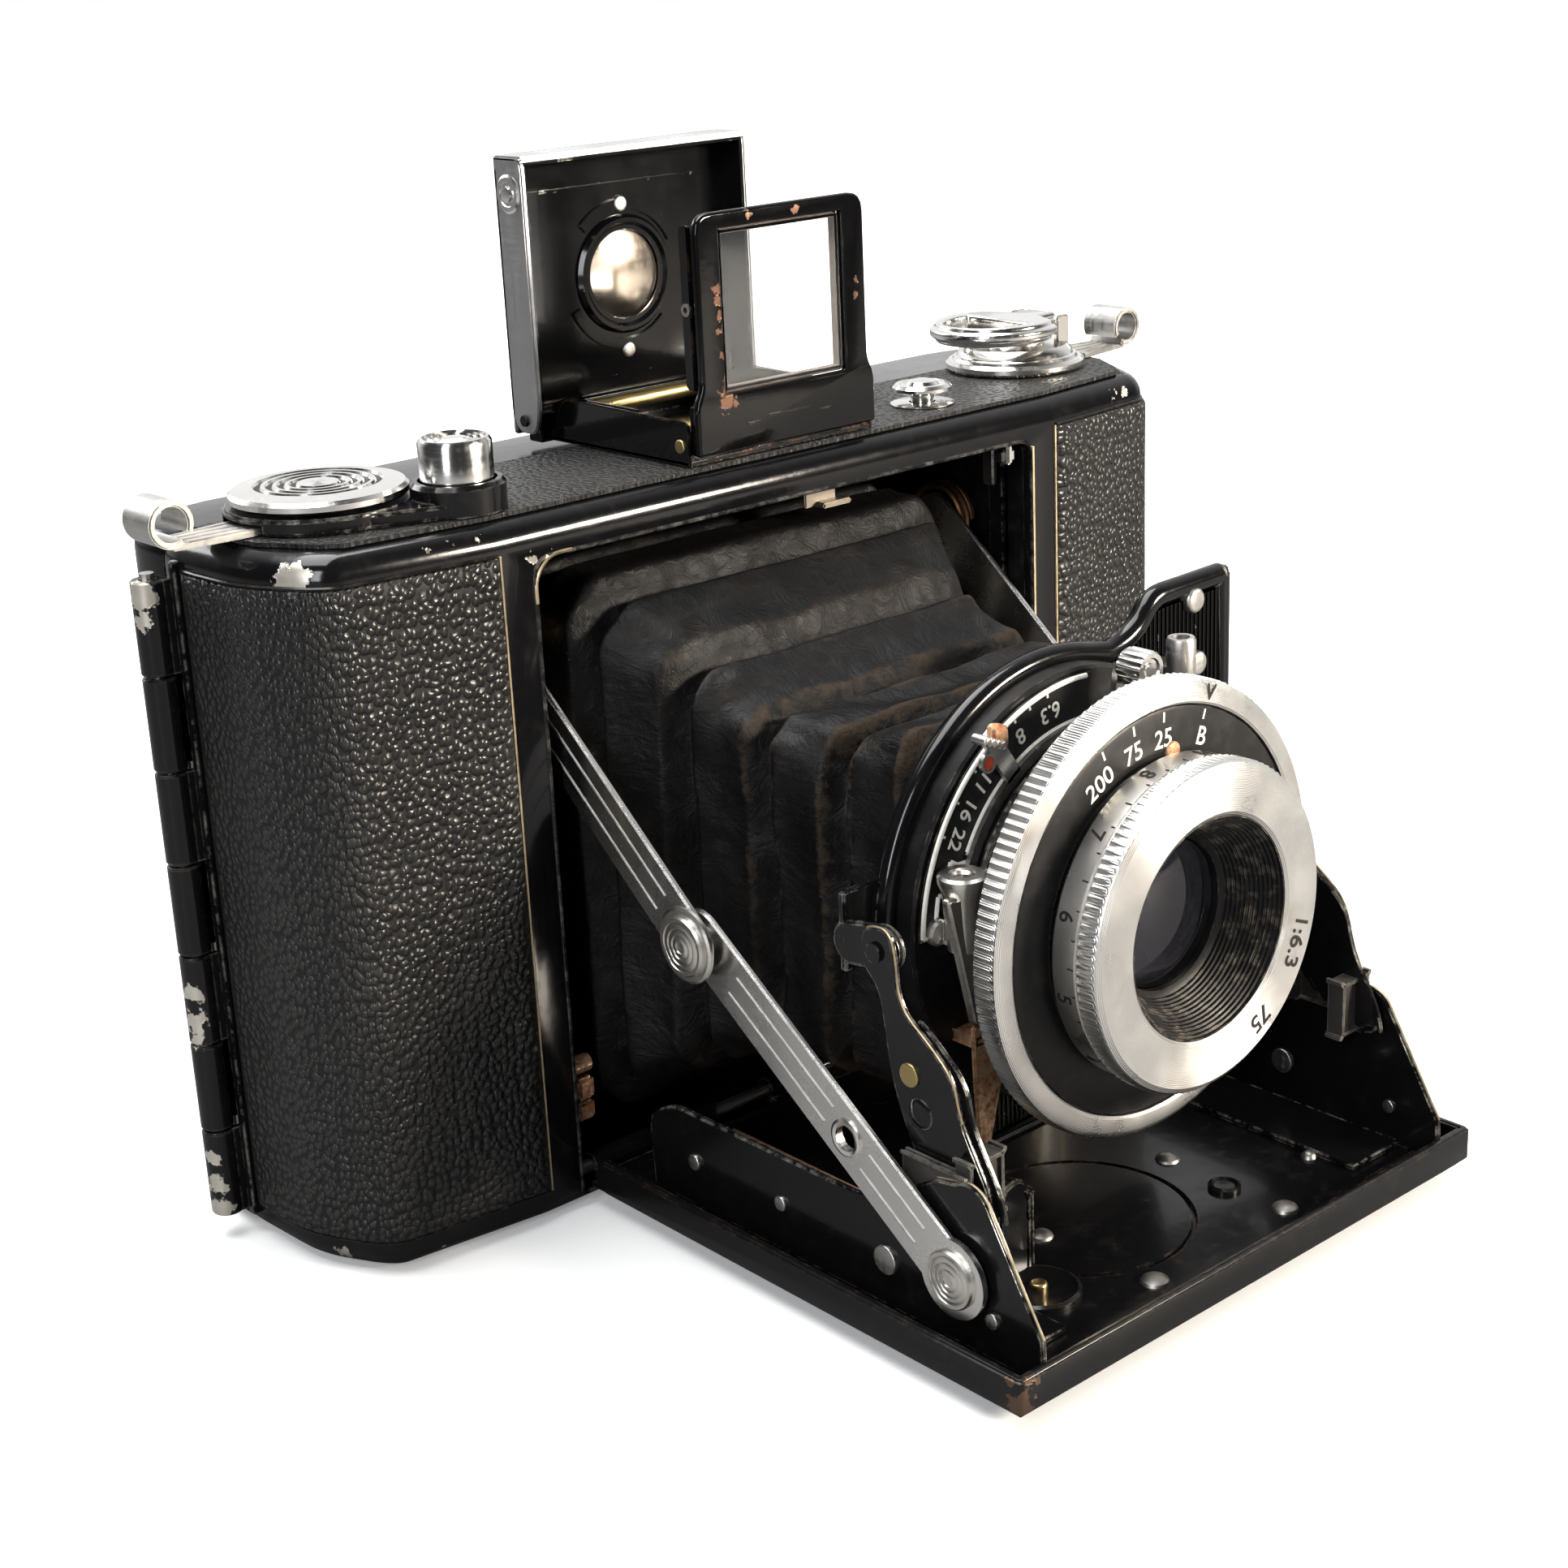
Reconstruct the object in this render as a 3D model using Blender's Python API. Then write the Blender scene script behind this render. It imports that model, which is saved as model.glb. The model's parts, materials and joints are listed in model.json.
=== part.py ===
"""Folding roll-film camera with a drop bed, self-erecting lens standard and folding optical finder.

The camera stands on its body, opened. +Z is up, the lens looks along -Y and +X is on the right of
somebody facing the lens. The origin is on the underside, midway between the ends, front and back.
Sizes below are millimetres and "ahead" means a distance in front of the body's front face.
"""

import math

import bmesh
import bpy
from mathutils import Matrix, Vector

MM = 0.001
GAP = 0.3
SKIN_GAP = 0.1

# Body
BODY_HEIGHT = 84.0
BODY_DEPTH = 40.0
HALF_WIDTH = 70.0
WALL = 1.5
FRONT = -BODY_DEPTH / 2
SPLIT = 6.0
END_CURVE = [(46, FRONT), (63.4, FRONT + 2.2), (65.6, FRONT + 4.4), (69.4, FRONT + 11.6), (70, FRONT + 15)]
OPENING_HALF = 39.4
OPENING_LOW, OPENING_HIGH = 1.7, 79.3
PANEL_EDGE = 44.2
TOP = BODY_HEIGHT + 0.7

# Optics and film
LENS_Z = 41.0
GATE_HALF = 28.0
GATE_AHEAD = -31.4
SPOOL_X, SPOOL_Y = 55.0, -2.5
SPOOL_FLANGE_RADIUS = 12.4
KEY_PIVOT_X = 60.0

# Bellows: (ahead, half width, lower edge, upper edge) where the taper changes
BELLOWS_SHAPE = [(-29.6, 34.4, 7.0, 75.0), (-4, 34, 8, 74.5), (10, 26.8, 16.5, 66), (37.2, 21.5, 19.5, 62.5)]
PLEATS = 7
PLEAT_DEPTH, PLEAT_SKIN = 1.6, 1.2

# Linkage: (ahead, height) of each pivot with the bed open
BED_PIVOT = (-1.8, 3.9)
BRACE_RIVET = (58.0, 11.8)
BRACE_KNEE = (19.8, 38.6)
BRACE_END = (-14.5, 67.3)
ARM_PIVOT = (59.1, 19.3)
STANDARD_PIVOT = (45.1, 43.55)

# Layers of the linkage, as distances from the middle plane
EAR_LAYER = (30.2, 31.2)
ARM_LAYER = (31.6, 32.6)
BRACKET_LAYER = (33.2, 34.0)
LOWER_LINK_LAYER = (34.6, 35.4)
UPPER_LINK_LAYER = (36.1, 36.9)

# Bed
BED_HALF = 38.4
BED_LENGTH = 70.4
BED_LOW, BED_FLOOR, BED_RIM = 2.1, 3.1, 6.3

# Finder
FINDER_FRONT_PIVOT = (-4.4, 87.0)
FINDER_REAR_PIVOT = (-30.5, 87.5)
EYEPIECE_Z = 103.0
EYEPIECE_RADIUS = 5.4

COLOURS = {
    "enamel": ((0.012, 0.012, 0.013), 0.25, 0.0),
    "leather": ((0.02, 0.02, 0.021), 0.6, 0.0),
    "chrome": ((0.72, 0.71, 0.69), 0.15, 1.0),
    "nickel": ((0.5, 0.49, 0.47), 0.3, 1.0),
    "aluminium": ((0.75, 0.74, 0.72), 0.35, 1.0),
    "steel": ((0.45, 0.44, 0.42), 0.4, 1.0),
    "brass": ((0.55, 0.42, 0.2), 0.35, 1.0),
    "dial_black": ((0.015, 0.015, 0.016), 0.4, 0.0),
    "bellows": ((0.03, 0.028, 0.027), 0.7, 0.0),
    "glass": ((0.7, 0.75, 0.8), 0.05, 0.0),
    "red_glass": ((0.45, 0.02, 0.02), 0.1, 0.0),
    "wood": ((0.3, 0.18, 0.09), 0.6, 0.0),
}


def clear_scene():
    for obj in list(bpy.data.objects):
        bpy.data.objects.remove(obj, do_unlink=True)


def material(name):
    found = bpy.data.materials.get(name)
    if found:
        return found
    made = bpy.data.materials.new(name)
    made.use_nodes = True
    colour, roughness, metallic = COLOURS[name]
    shader = made.node_tree.nodes["Principled BSDF"]
    shader.inputs["Base Color"].default_value = (*colour, 1.0)
    shader.inputs["Roughness"].default_value = roughness
    shader.inputs["Metallic"].default_value = metallic
    return made


def object_from(shape, name="piece"):
    """Turns a bmesh in millimetres into an object in metres."""
    bmesh.ops.recalc_face_normals(shape, faces=shape.faces)
    bmesh.ops.scale(shape, vec=Vector((MM, MM, MM)), verts=shape.verts)
    mesh = bpy.data.meshes.new(name)
    shape.to_mesh(mesh)
    shape.free()
    made = bpy.data.objects.new(name, mesh)
    bpy.context.scene.collection.objects.link(made)
    return made


def node(obj, name, finish, pivot=None):
    """Names the finished piece, colours it and puts its origin on its joint's axis."""
    obj.name = name
    obj.data.name = name
    obj.data.materials.clear()
    obj.data.materials.append(material(finish))
    obj.data.shade_smooth()
    obj.data.set_sharp_from_angle(angle=math.radians(32))
    if pivot:
        offset = Vector(pivot) * MM
        obj.data.transform(Matrix.Translation(-offset))
        obj.location = offset
    return obj


def boolean(base, other, operation):
    cutter = base.modifiers.new("boolean", "BOOLEAN")
    cutter.object = other
    cutter.operation = operation
    cutter.solver = "EXACT"
    bpy.context.view_layer.update()
    graph = bpy.context.evaluated_depsgraph_get()
    result = bpy.data.meshes.new_from_object(base.evaluated_get(graph))
    base.modifiers.clear()
    base.data = result
    bpy.data.objects.remove(other, do_unlink=True)
    return base


def cut(base, *others):
    for other in others:
        boolean(base, other, "DIFFERENCE")
    return base


def fuse(base, *others):
    for other in others:
        boolean(base, other, "UNION")
    return base


def at(along, u, v, w):
    """The point with in-plane coordinates u, v (in X, Y, Z order) and w along the axis."""
    return {"X": (w, u, v), "Y": (u, w, v), "Z": (u, v, w)}[along]


def prism(outline, along, start, end, bevel=0.0, segments=1):
    shape = bmesh.new()
    low = [shape.verts.new(at(along, u, v, start)) for u, v in outline]
    high = [shape.verts.new(at(along, u, v, end)) for u, v in outline]
    shape.faces.new(low)
    shape.faces.new(high)
    for i in range(len(outline)):
        j = (i + 1) % len(outline)
        shape.faces.new((low[i], low[j], high[j], high[i]))
    if bevel:
        bmesh.ops.recalc_face_normals(shape, faces=shape.faces)
        rim = [e for e in shape.edges if (e.verts[0] in low) == (e.verts[1] in low)]
        bmesh.ops.bevel(shape, geom=rim, offset=bevel, segments=segments, affect="EDGES")
    return object_from(shape)


def block(x, y, z):
    return prism([(x[0], y[0]), (x[1], y[0]), (x[1], y[1]), (x[0], y[1])], "Z", z[0], z[1])


def turned(profile, along, centre, steps=32):
    """A turned piece: the profile is a closed loop of (radius, place along the axis)."""
    shape = bmesh.new()
    rings = []
    for radius, place in profile:
        if radius == 0:
            rings.append([shape.verts.new(at(along, centre[0], centre[1], place))])
            continue
        ring = []
        for i in range(steps):
            turn = 2 * math.pi * i / steps
            u = centre[0] + radius * math.cos(turn)
            v = centre[1] + radius * math.sin(turn)
            ring.append(shape.verts.new(at(along, u, v, place)))
        rings.append(ring)
    for i, ring in enumerate(rings):
        following = rings[(i + 1) % len(rings)]
        if len(ring) == 1 and len(following) == 1:
            continue
        for k in range(steps):
            m = (k + 1) % steps
            corners = [ring[k % len(ring)], ring[m % len(ring)]]
            corners += [following[m % len(following)], following[k % len(following)]]
            shape.faces.new(list(dict.fromkeys(corners)))
    return object_from(shape)


def disc(radius, along, centre, start, end, steps=32):
    return turned([(0, start), (radius, start), (radius, end), (0, end)], along, centre, steps)


def washer(inner, outer, along, centre, start, end, steps=32):
    profile = [(inner, start), (outer, start), (outer, end), (inner, end)]
    return turned(profile, along, centre, steps)


def arc(centre, radius, start, end, steps):
    """Points on an arc, with its ends as angles in degrees."""
    turns = [math.radians(start + (end - start) * i / steps) for i in range(steps + 1)]
    return [(centre[0] + radius * math.cos(t), centre[1] + radius * math.sin(t)) for t in turns]


def ahead(distance):
    return FRONT - distance


def side_point(place):
    """The (Y, Z) of an (ahead, height) pair."""
    return (ahead(place[0]), place[1])


def turned_ahead(profile, steps=36):
    """A piece turned about the lens axis, from (radius, ahead) points."""
    return turned([(r, ahead(s)) for r, s in profile], "Y", (0, LENS_Z), steps)


def layer(side, limits):
    return sorted((side * limits[0], side * limits[1]))


def link(first, second, half_width, start, end, steps=10):
    """A flat bar with round ends between two (Y, Z) points, across X."""
    turn = math.degrees(math.atan2(second[1] - first[1], second[0] - first[0]))
    outline = arc(second, half_width, turn - 90, turn + 90, steps)
    outline += arc(first, half_width, turn + 90, turn + 270, steps)
    return prism(outline, "X", start, end)


def body_outline(inset, back):
    """The front shell's plan, drawn in by an inset, down to its open back."""
    right = [(x - inset, y + inset * 0.7) for x, y in END_CURVE]
    right[0] = (END_CURVE[0][0], FRONT + inset)
    right.append((HALF_WIDTH - inset, back))
    return [(-x, y) for x, y in reversed(right)] + right


def knuckle(low, high):
    """One barrel of the back's hinge, open for its pin."""
    return washer(1.0, 1.8, "Z", BACK_AXIS, low, high, 16)


BACK_AXIS = (-72.6, 5.6)
KNUCKLE_PITCH = 11.0
KNUCKLES = [(3 + KNUCKLE_PITCH * i, 3 + KNUCKLE_PITCH * (i + 1) - GAP) for i in range(7)]
TOP_SHAFTS = {
    "winding": (SPOOL_X, SPOOL_Y, 2.4),
    "supply": (-SPOOL_X, SPOOL_Y, 2.4),
    "release": (-43.5, -12.5, 1.8),
    "door": (29.0, -11.0, 1.8),
}


def top_holes(base):
    for x, y, radius in TOP_SHAFTS.values():
        cut(base, disc(radius, "Z", (x, y), 70, 95, 16))
    return base


def make_body():
    shell = prism(body_outline(0, SPLIT), "Z", 0, BODY_HEIGHT, bevel=1.4, segments=2)
    cavity = prism(body_outline(WALL, SPLIT + 5), "Z", WALL, BODY_HEIGHT - WALL)
    cut(shell, cavity)
    opening = arc((OPENING_HALF - 2, OPENING_HIGH - 2), 2, 0, 90, 4)
    opening += arc((-OPENING_HALF + 2, OPENING_HIGH - 2), 2, 90, 180, 4)
    opening += [(-OPENING_HALF, OPENING_LOW), (OPENING_HALF, OPENING_LOW)]
    cut(shell, prism(opening, "Y", FRONT - 5, FRONT + 5))
    top_holes(shell)
    cut(shell, disc(6.2, "Z", (-52, -4), -5, 5, 24))
    for side in (-1, 1):
        x = layer(side, (18, 24))
        lug = disc(1.5, "X", side_point(BED_PIVOT), *x, steps=16)
        foot = block(x, (ahead(-0.5), ahead(-3.1)), (1.0, BED_PIVOT[1]))
        fuse(lug, foot)
        cut(lug, disc(0.95, "X", side_point(BED_PIVOT), -30, 30, 16))
        fuse(shell, lug)
    for low, high in KNUCKLES[0::2]:
        leaf = block((BACK_AXIS[0], -HALF_WIDTH + 0.8), (3.8, 4.8), (low, high))
        cut(leaf, disc(1.4, "Z", BACK_AXIS, low - 5, high + 5, 16))
        fuse(shell, fuse(knuckle(low, high), leaf))
    node(shell, "body_shell", "enamel")

    strap = [(PANEL_EDGE, FRONT)] + END_CURVE
    for side, name in ((-1, "leather_left"), (1, "leather_right")):
        near = [(x + SKIN_GAP * 0.7, y - SKIN_GAP) for x, y in strap]
        far = [(x + 0.65, y - 0.7) for x, y in strap]
        near[0], far[0] = (PANEL_EDGE, FRONT - SKIN_GAP), (PANEL_EDGE, FRONT - 0.7)
        near.append((HALF_WIDTH + SKIN_GAP, 2.6))
        far.append((HALF_WIDTH + 0.7, 2.6))
        outline = [(side * x, y) for x, y in near + far[::-1]]
        node(prism(outline, "Z", 4.0, 80.4), name, "leather")

    skin = [(x * 0.955, y * 0.86 - 0.6) for x, y in body_outline(0, SPLIT)]
    top_skin = prism(skin, "Z", BODY_HEIGHT + SKIN_GAP, BODY_HEIGHT + 0.6)
    node(top_holes(top_skin), "leather_top", "leather")

    bush = turned(
        [(3.2, 0.1), (5.9, 0.1), (5.9, 4.5), (3.2, 4.5)], "Z", (-52, -4), 24
    )
    node(bush, "tripod_bush", "brass")
    pin = disc(0.8, "X", side_point(BED_PIVOT), -39.0, 39.0, 12)
    node(pin, "bed_hinge_pin", "steel")
    node(disc(0.85, "Z", BACK_AXIS, 3.6, 80.4, 12), "back_hinge_pin", "steel")


def make_film_gate():
    low, high = 2.2, 82.0
    back = (ahead(GATE_AHEAD + 1.2), ahead(GATE_AHEAD))
    plate = block((-42, 42), back, (low, high))
    for side in (-1, 1):
        wall = block(layer(side, (40.3, 41.1)), (FRONT + 1.8, back[1]), (low, high))
        fuse(plate, wall)
    window = block(
        (-GATE_HALF, GATE_HALF), (0, 30), (LENS_Z - GATE_HALF, LENS_Z + GATE_HALF)
    )
    node(cut(plate, window), "film_gate", "dial_black")

    for side, name in ((-1, "supply_spool"), (1, "takeup_spool")):
        rim = SPOOL_FLANGE_RADIUS
        profile = [(0, 11), (2.6, 11), (2.6, 8), (rim, 8), (rim, 8.8), (6, 8.8)]
        profile += [(6, 73.2), (rim, 73.2), (rim, 74), (2.6, 74), (2.6, 71), (0, 71)]
        centre = (side * SPOOL_X, SPOOL_Y)
        spool = turned(profile, "Z", centre, 20)
        node(spool, name, "wood" if side < 0 else "dial_black", (*centre, 41))


def bellows_size(place):
    """Half width, lower edge and upper edge of the bellows at a distance ahead."""
    for near, far in zip(BELLOWS_SHAPE, BELLOWS_SHAPE[1:]):
        if place <= far[0]:
            share = (place - near[0]) / (far[0] - near[0])
            return [a + (b - a) * share for a, b in zip(near[1:], far[1:])]
    return BELLOWS_SHAPE[-1][1:]


def make_bellows():
    """A hollow tapered box of leathercloth, one ridge to each pleat."""
    rear, front = BELLOWS_SHAPE[0][0], BELLOWS_SHAPE[-1][0]
    shape = bmesh.new()
    rings = []
    steps = list(range(2 * PLEATS + 1))
    for skin, order in ((0, steps), (PLEAT_SKIN, steps[::-1])):
        for step in order:
            place = rear + (front - rear) * step / (2 * PLEATS)
            half, low, high = bellows_size(place)
            draw_in = skin + (PLEAT_DEPTH if step % 2 else 0)
            left, right = draw_in - half, half - draw_in
            low, high = low + draw_in, high - draw_in
            points = [(left, low), (right, low), (right, high), (left, high)]
            rings.append([shape.verts.new((x, ahead(place), z)) for x, z in points])
    for i, ring in enumerate(rings):
        following = rings[(i + 1) % len(rings)]
        for k in range(4):
            m = (k + 1) % 4
            shape.faces.new((ring[k], ring[m], following[m], following[k]))
    node(object_from(shape), "bellows", "bellows")


def make_back():
    outer = [(HALF_WIDTH, SPLIT + GAP), (HALF_WIDTH, 14), (65.5, 18.6), (58, 20)]
    inner = [(HALF_WIDTH - WALL, SPLIT - 3), (HALF_WIDTH - WALL, 13.4), (64.8, 17.4), (57.8, 18.5)]
    door = prism(
        outer + [(-x, y) for x, y in reversed(outer)], "Z", 0, BODY_HEIGHT, bevel=1.2, segments=2
    )
    hollow = prism(inner + [(-x, y) for x, y in reversed(inner)], "Z", WALL, BODY_HEIGHT - WALL)
    cut(door, hollow, disc(4.2, "Y", (0, LENS_Z), 10, 30, 24))
    for low, high in KNUCKLES[1::2]:
        leaf = block((BACK_AXIS[0], -HALF_WIDTH + 0.8), (6.4, 7.4), (low, high))
        cut(leaf, disc(1.4, "Z", BACK_AXIS, low - 5, high + 5, 16))
        fuse(door, fuse(knuckle(low, high), leaf))
    pivot = (*BACK_AXIS, BODY_HEIGHT / 2)
    node(door, "back_door", "enamel", pivot)

    skin = prism(
        [(-56, 20.1), (56, 20.1), (56, 20.7), (-56, 20.7)], "Z", 4, 80
    )
    cut(skin, disc(5.4, "Y", (0, LENS_Z), 10, 30, 24))
    node(skin, "leather_back", "leather", pivot)
    window = disc(4.0, "Y", (0, LENS_Z), 18.7, 19.8, 24)
    node(window, "red_window", "red_glass", pivot)
    plate = block((-31, 31), (13.6, 14.4), (9, 73))
    for x in (-20, 20):
        spring = block((x - 4, x + 4), (14.2, 18.2), (20, 62))
        cut(spring, block((x - 9, x + 9), (15.0, 18.9), (23, 59)))
        fuse(plate, spring)
    cut(plate, disc(4.6, "Y", (0, LENS_Z), 10, 30, 24))
    node(plate, "pressure_plate", "steel", pivot)
    cover = prism(
        [(-13, 35), (7, 35), (7, 47), (-13, 47)], "Y", 21.0, 21.8, bevel=0.25
    )
    grip = block((-12, -10), (21.5, 22.8), (37, 45))
    node(fuse(cover, grip), "window_cover", "nickel", (0, 21, LENS_Z))
    latch = block((HALF_WIDTH + 0.3, HALF_WIDTH + 1.3), (3.0, 14.5), (30, 52))
    hook = block((HALF_WIDTH + 0.3, HALF_WIDTH + 2.8), (13.0, 14.5), (32, 50))
    node(fuse(latch, hook), "back_latch", "chrome", (HALF_WIDTH + 0.8, 14.2, LENS_Z))


def make_top():
    x, y, _ = TOP_SHAFTS["release"]
    housing = prism(arc((-SPOOL_X, SPOOL_Y), 10.6, 0, 348, 28), "Z", TOP, 86.5)
    neck = prism([(-55, -13.0), (-43, -17.2), (-40, -9), (-48, 4)], "Z", TOP, 86.5)
    boss = disc(5.2, "Z", (x, y), TOP, 88.2, 24)
    fuse(housing, neck, boss)
    well = [(0, 80), (1.8, 80), (1.8, 85.6), (4.4, 85.6), (4.4, 95), (0, 95)]
    cut(housing, turned(well, "Z", (x, y), 24))
    cut(housing, disc(2.4, "Z", (-SPOOL_X, SPOOL_Y), 80, 95, 16))
    cut(housing, block((-66, -58), (-6.4, 1.4), (TOP - 3, 85.7)))
    node(housing, "release_housing", "enamel")

    plunger = turned(
        [(0, 80), (1.5, 80), (1.5, 87.9), (4.1, 87.9), (4.1, 92.6), (3.6, 93), (0, 93)],
        "Z", (x, y), 24,
    )
    node(plunger, "release_plunger", "chrome", (x, y, 90))
    x, y, _ = TOP_SHAFTS["door"]
    button = turned(
        [(0, 80), (1.5, 80), (1.5, 86.2), (3.8, 86.5), (3.8, 87.2), (2.4, 87.9), (0, 87.9)],
        "Z", (x, y), 20,
    )
    node(button, "door_button", "chrome", (x, y, 86))

    centre = (-SPOOL_X, SPOOL_Y)
    knob = turned(
        [(0, 73), (2.1, 73), (2.1, 86.8), (9.9, 86.8), (9.9, 87.9), (9.3, 88.4), (0, 88.4)],
        "Z", centre, 28,
    )
    node(knob, "supply_knob", "chrome", (*centre, 87))

    centre = (SPOOL_X, SPOOL_Y)
    profile = [(0, 73), (2.1, 73), (2.1, TOP + 0.1), (9.4, TOP + 0.1), (9.4, 86.0), (8.6, 86.3)]
    profile += [(7.6, 87.8), (4.0, 88.0), (4.0, 88.6), (0, 88.6)]
    knob = turned(profile, "Z", centre, 28)
    for y in (-4.4, 3.6):
        ear = (SPOOL_Y + y, SPOOL_Y + y + 0.8)
        fuse(knob, block((KEY_PIVOT_X - 1.2, KEY_PIVOT_X + 1.2), ear, (86.6, 91.4)))
    node(knob, "winding_knob", "chrome", (*centre, 87))

    loop = arc((SPOOL_X - 4.0, SPOOL_Y), 8.6, 55, 305, 20)
    for x, y in ((-2.2, -3.2), (1.2, -3.2), (1.2, 3.2), (-2.2, 3.2)):
        loop.append((KEY_PIVOT_X + x, SPOOL_Y + y))
    key = prism(loop, "Z", 89.0, 91.6, bevel=0.5)
    cut(key, prism(arc((SPOOL_X - 5.2, SPOOL_Y), 5.9, 70, 290, 16), "Z", 80, 95))
    node(key, "winding_key", "chrome", (KEY_PIVOT_X, SPOOL_Y, 90.3))

    for side, name in ((-1, "strap_lug_left"), (1, "strap_lug_right")):
        strip = block(layer(side, (64.9 if side > 0 else 58.6, 74.6)), (-5.6, 0.4), (TOP, 85.5))
        ring = washer(2.1, 3.0, "Y", (side * 74.6, 87.7), -5.6, 0.4, 20)
        node(fuse(ring, strip), name, "nickel")


def make_finder():
    walls = [(ahead(-3.8), TOP), (ahead(-3.8), 87.4), (ahead(-10.5), 87.4), (ahead(-12.0), 90.2)]
    walls += [(ahead(-27.0), 90.2), (ahead(-29.5), 88.7), (ahead(-31.7), 88.7), (ahead(-31.7), TOP)]
    base = block((-13.9, 13.9), (ahead(-3.8), ahead(-31.7)), (TOP, 85.4))
    for side in (-1, 1):
        fuse(base, prism(walls, "X", *layer(side, (13.3, 13.9))))
        ear = disc(1.2, "X", side_point(FINDER_REAR_PIVOT), *layer(side, (13.6, 16.4)), steps=16)
        foot = block(layer(side, (13.6, 16.4)), (ahead(-31.7), ahead(-29.3)), (TOP, 87.5))
        fuse(base, fuse(ear, foot))
    cut(base, disc(0.8, "X", side_point(FINDER_REAR_PIVOT), -30, 30, 12))
    cut(base, disc(0.8, "X", side_point(FINDER_FRONT_PIVOT), -30, 30, 12))
    node(base, "finder_base", "enamel")
    rear_pin = disc(0.7, "X", side_point(FINDER_REAR_PIVOT), -17.9, 17.9, 12)
    node(rear_pin, "finder_rear_pin", "brass")
    front_pin = disc(0.7, "X", side_point(FINDER_FRONT_PIVOT), -14.3, 14.3, 12)
    node(front_pin, "finder_front_pin", "brass")

    near, far = ahead(-1.6), ahead(-2.8)
    outline = [(-13.9, 85.7), (13.9, 85.7), (13.9, 92.2), (12.9, 93.4)]
    outline += arc((11.4, 111.8), 1.5, 0, 90, 3) + arc((-11.4, 111.8), 1.5, 90, 180, 3)
    outline += [(-12.9, 93.4), (-13.9, 92.2)]
    frame = prism(outline, "Y", near, far)
    cut(frame, block((-9.4, 9.4), (ahead(4), ahead(-8)), (92.6, 111.4)))
    for side in (-1, 1):
        x = layer(side, (12.1, 12.8))
        flange = block(x, (far - 0.4, ahead(-5.0)), (92.0, 112))
        ear = disc(1.4, "X", side_point(FINDER_FRONT_PIVOT), *x, steps=16)
        arm = block(x, (far - 0.4, ahead(-4.4)), (85.8, 88.2))
        fuse(ear, arm)
        cut(ear, disc(0.8, "X", side_point(FINDER_FRONT_PIVOT), -30, 30, 12))
        fuse(frame, flange, ear)
    pivot = (0, *side_point(FINDER_FRONT_PIVOT))
    node(frame, "finder_front_frame", "enamel", pivot)
    pane = block((-9.2, 9.2), (ahead(-2.0), ahead(-2.5)), (92.8, 111.2))
    node(pane, "finder_front_glass", "glass", pivot)

    plate = (ahead(-32.4), ahead(-33.1))
    corner = arc((16.0, 117.4), 1.6, 0, 90, 3)
    outline = [(-17.6, 85.6), (17.6, 85.6)] + corner + [(-x, z) for x, z in reversed(corner)]
    cover = prism(outline, "Y", *plate)
    cut(cover, disc(EYEPIECE_RADIUS + 0.2, "Y", (0, EYEPIECE_Z), 5, 30, 24))
    hood = block((-17.6, 17.6), (ahead(-27.6), plate[1]), (115.5, 119))
    cut(hood, block((-16.8, 16.8), (ahead(-24), ahead(-39)), (111, 118.3)))
    fuse(cover, hood)
    for side in (-1, 1):
        x = layer(side, (16.8, 17.6))
        flange = block(x, (ahead(-27.6), plate[1]), (88.0, 117.6))
        end = disc(2.6, "X", (ahead(-30.3), 88.0), *x, steps=20)
        fuse(flange, end)
        cut(flange, disc(0.8, "X", side_point(FINDER_REAR_PIVOT), -30, 30, 12))
        fuse(cover, flange)
    pivot = (0, *side_point(FINDER_REAR_PIVOT))
    node(cover, "finder_rear_cover", "nickel", pivot)
    eyepiece = turned(
        [(0, ahead(-32.2)), (EYEPIECE_RADIUS, ahead(-32.2)), (EYEPIECE_RADIUS, ahead(-33.4)),
         (0, ahead(-33.4))],
        "Y", (0, EYEPIECE_Z), 24,
    )
    node(eyepiece, "eyepiece_lens", "glass", pivot)


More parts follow.
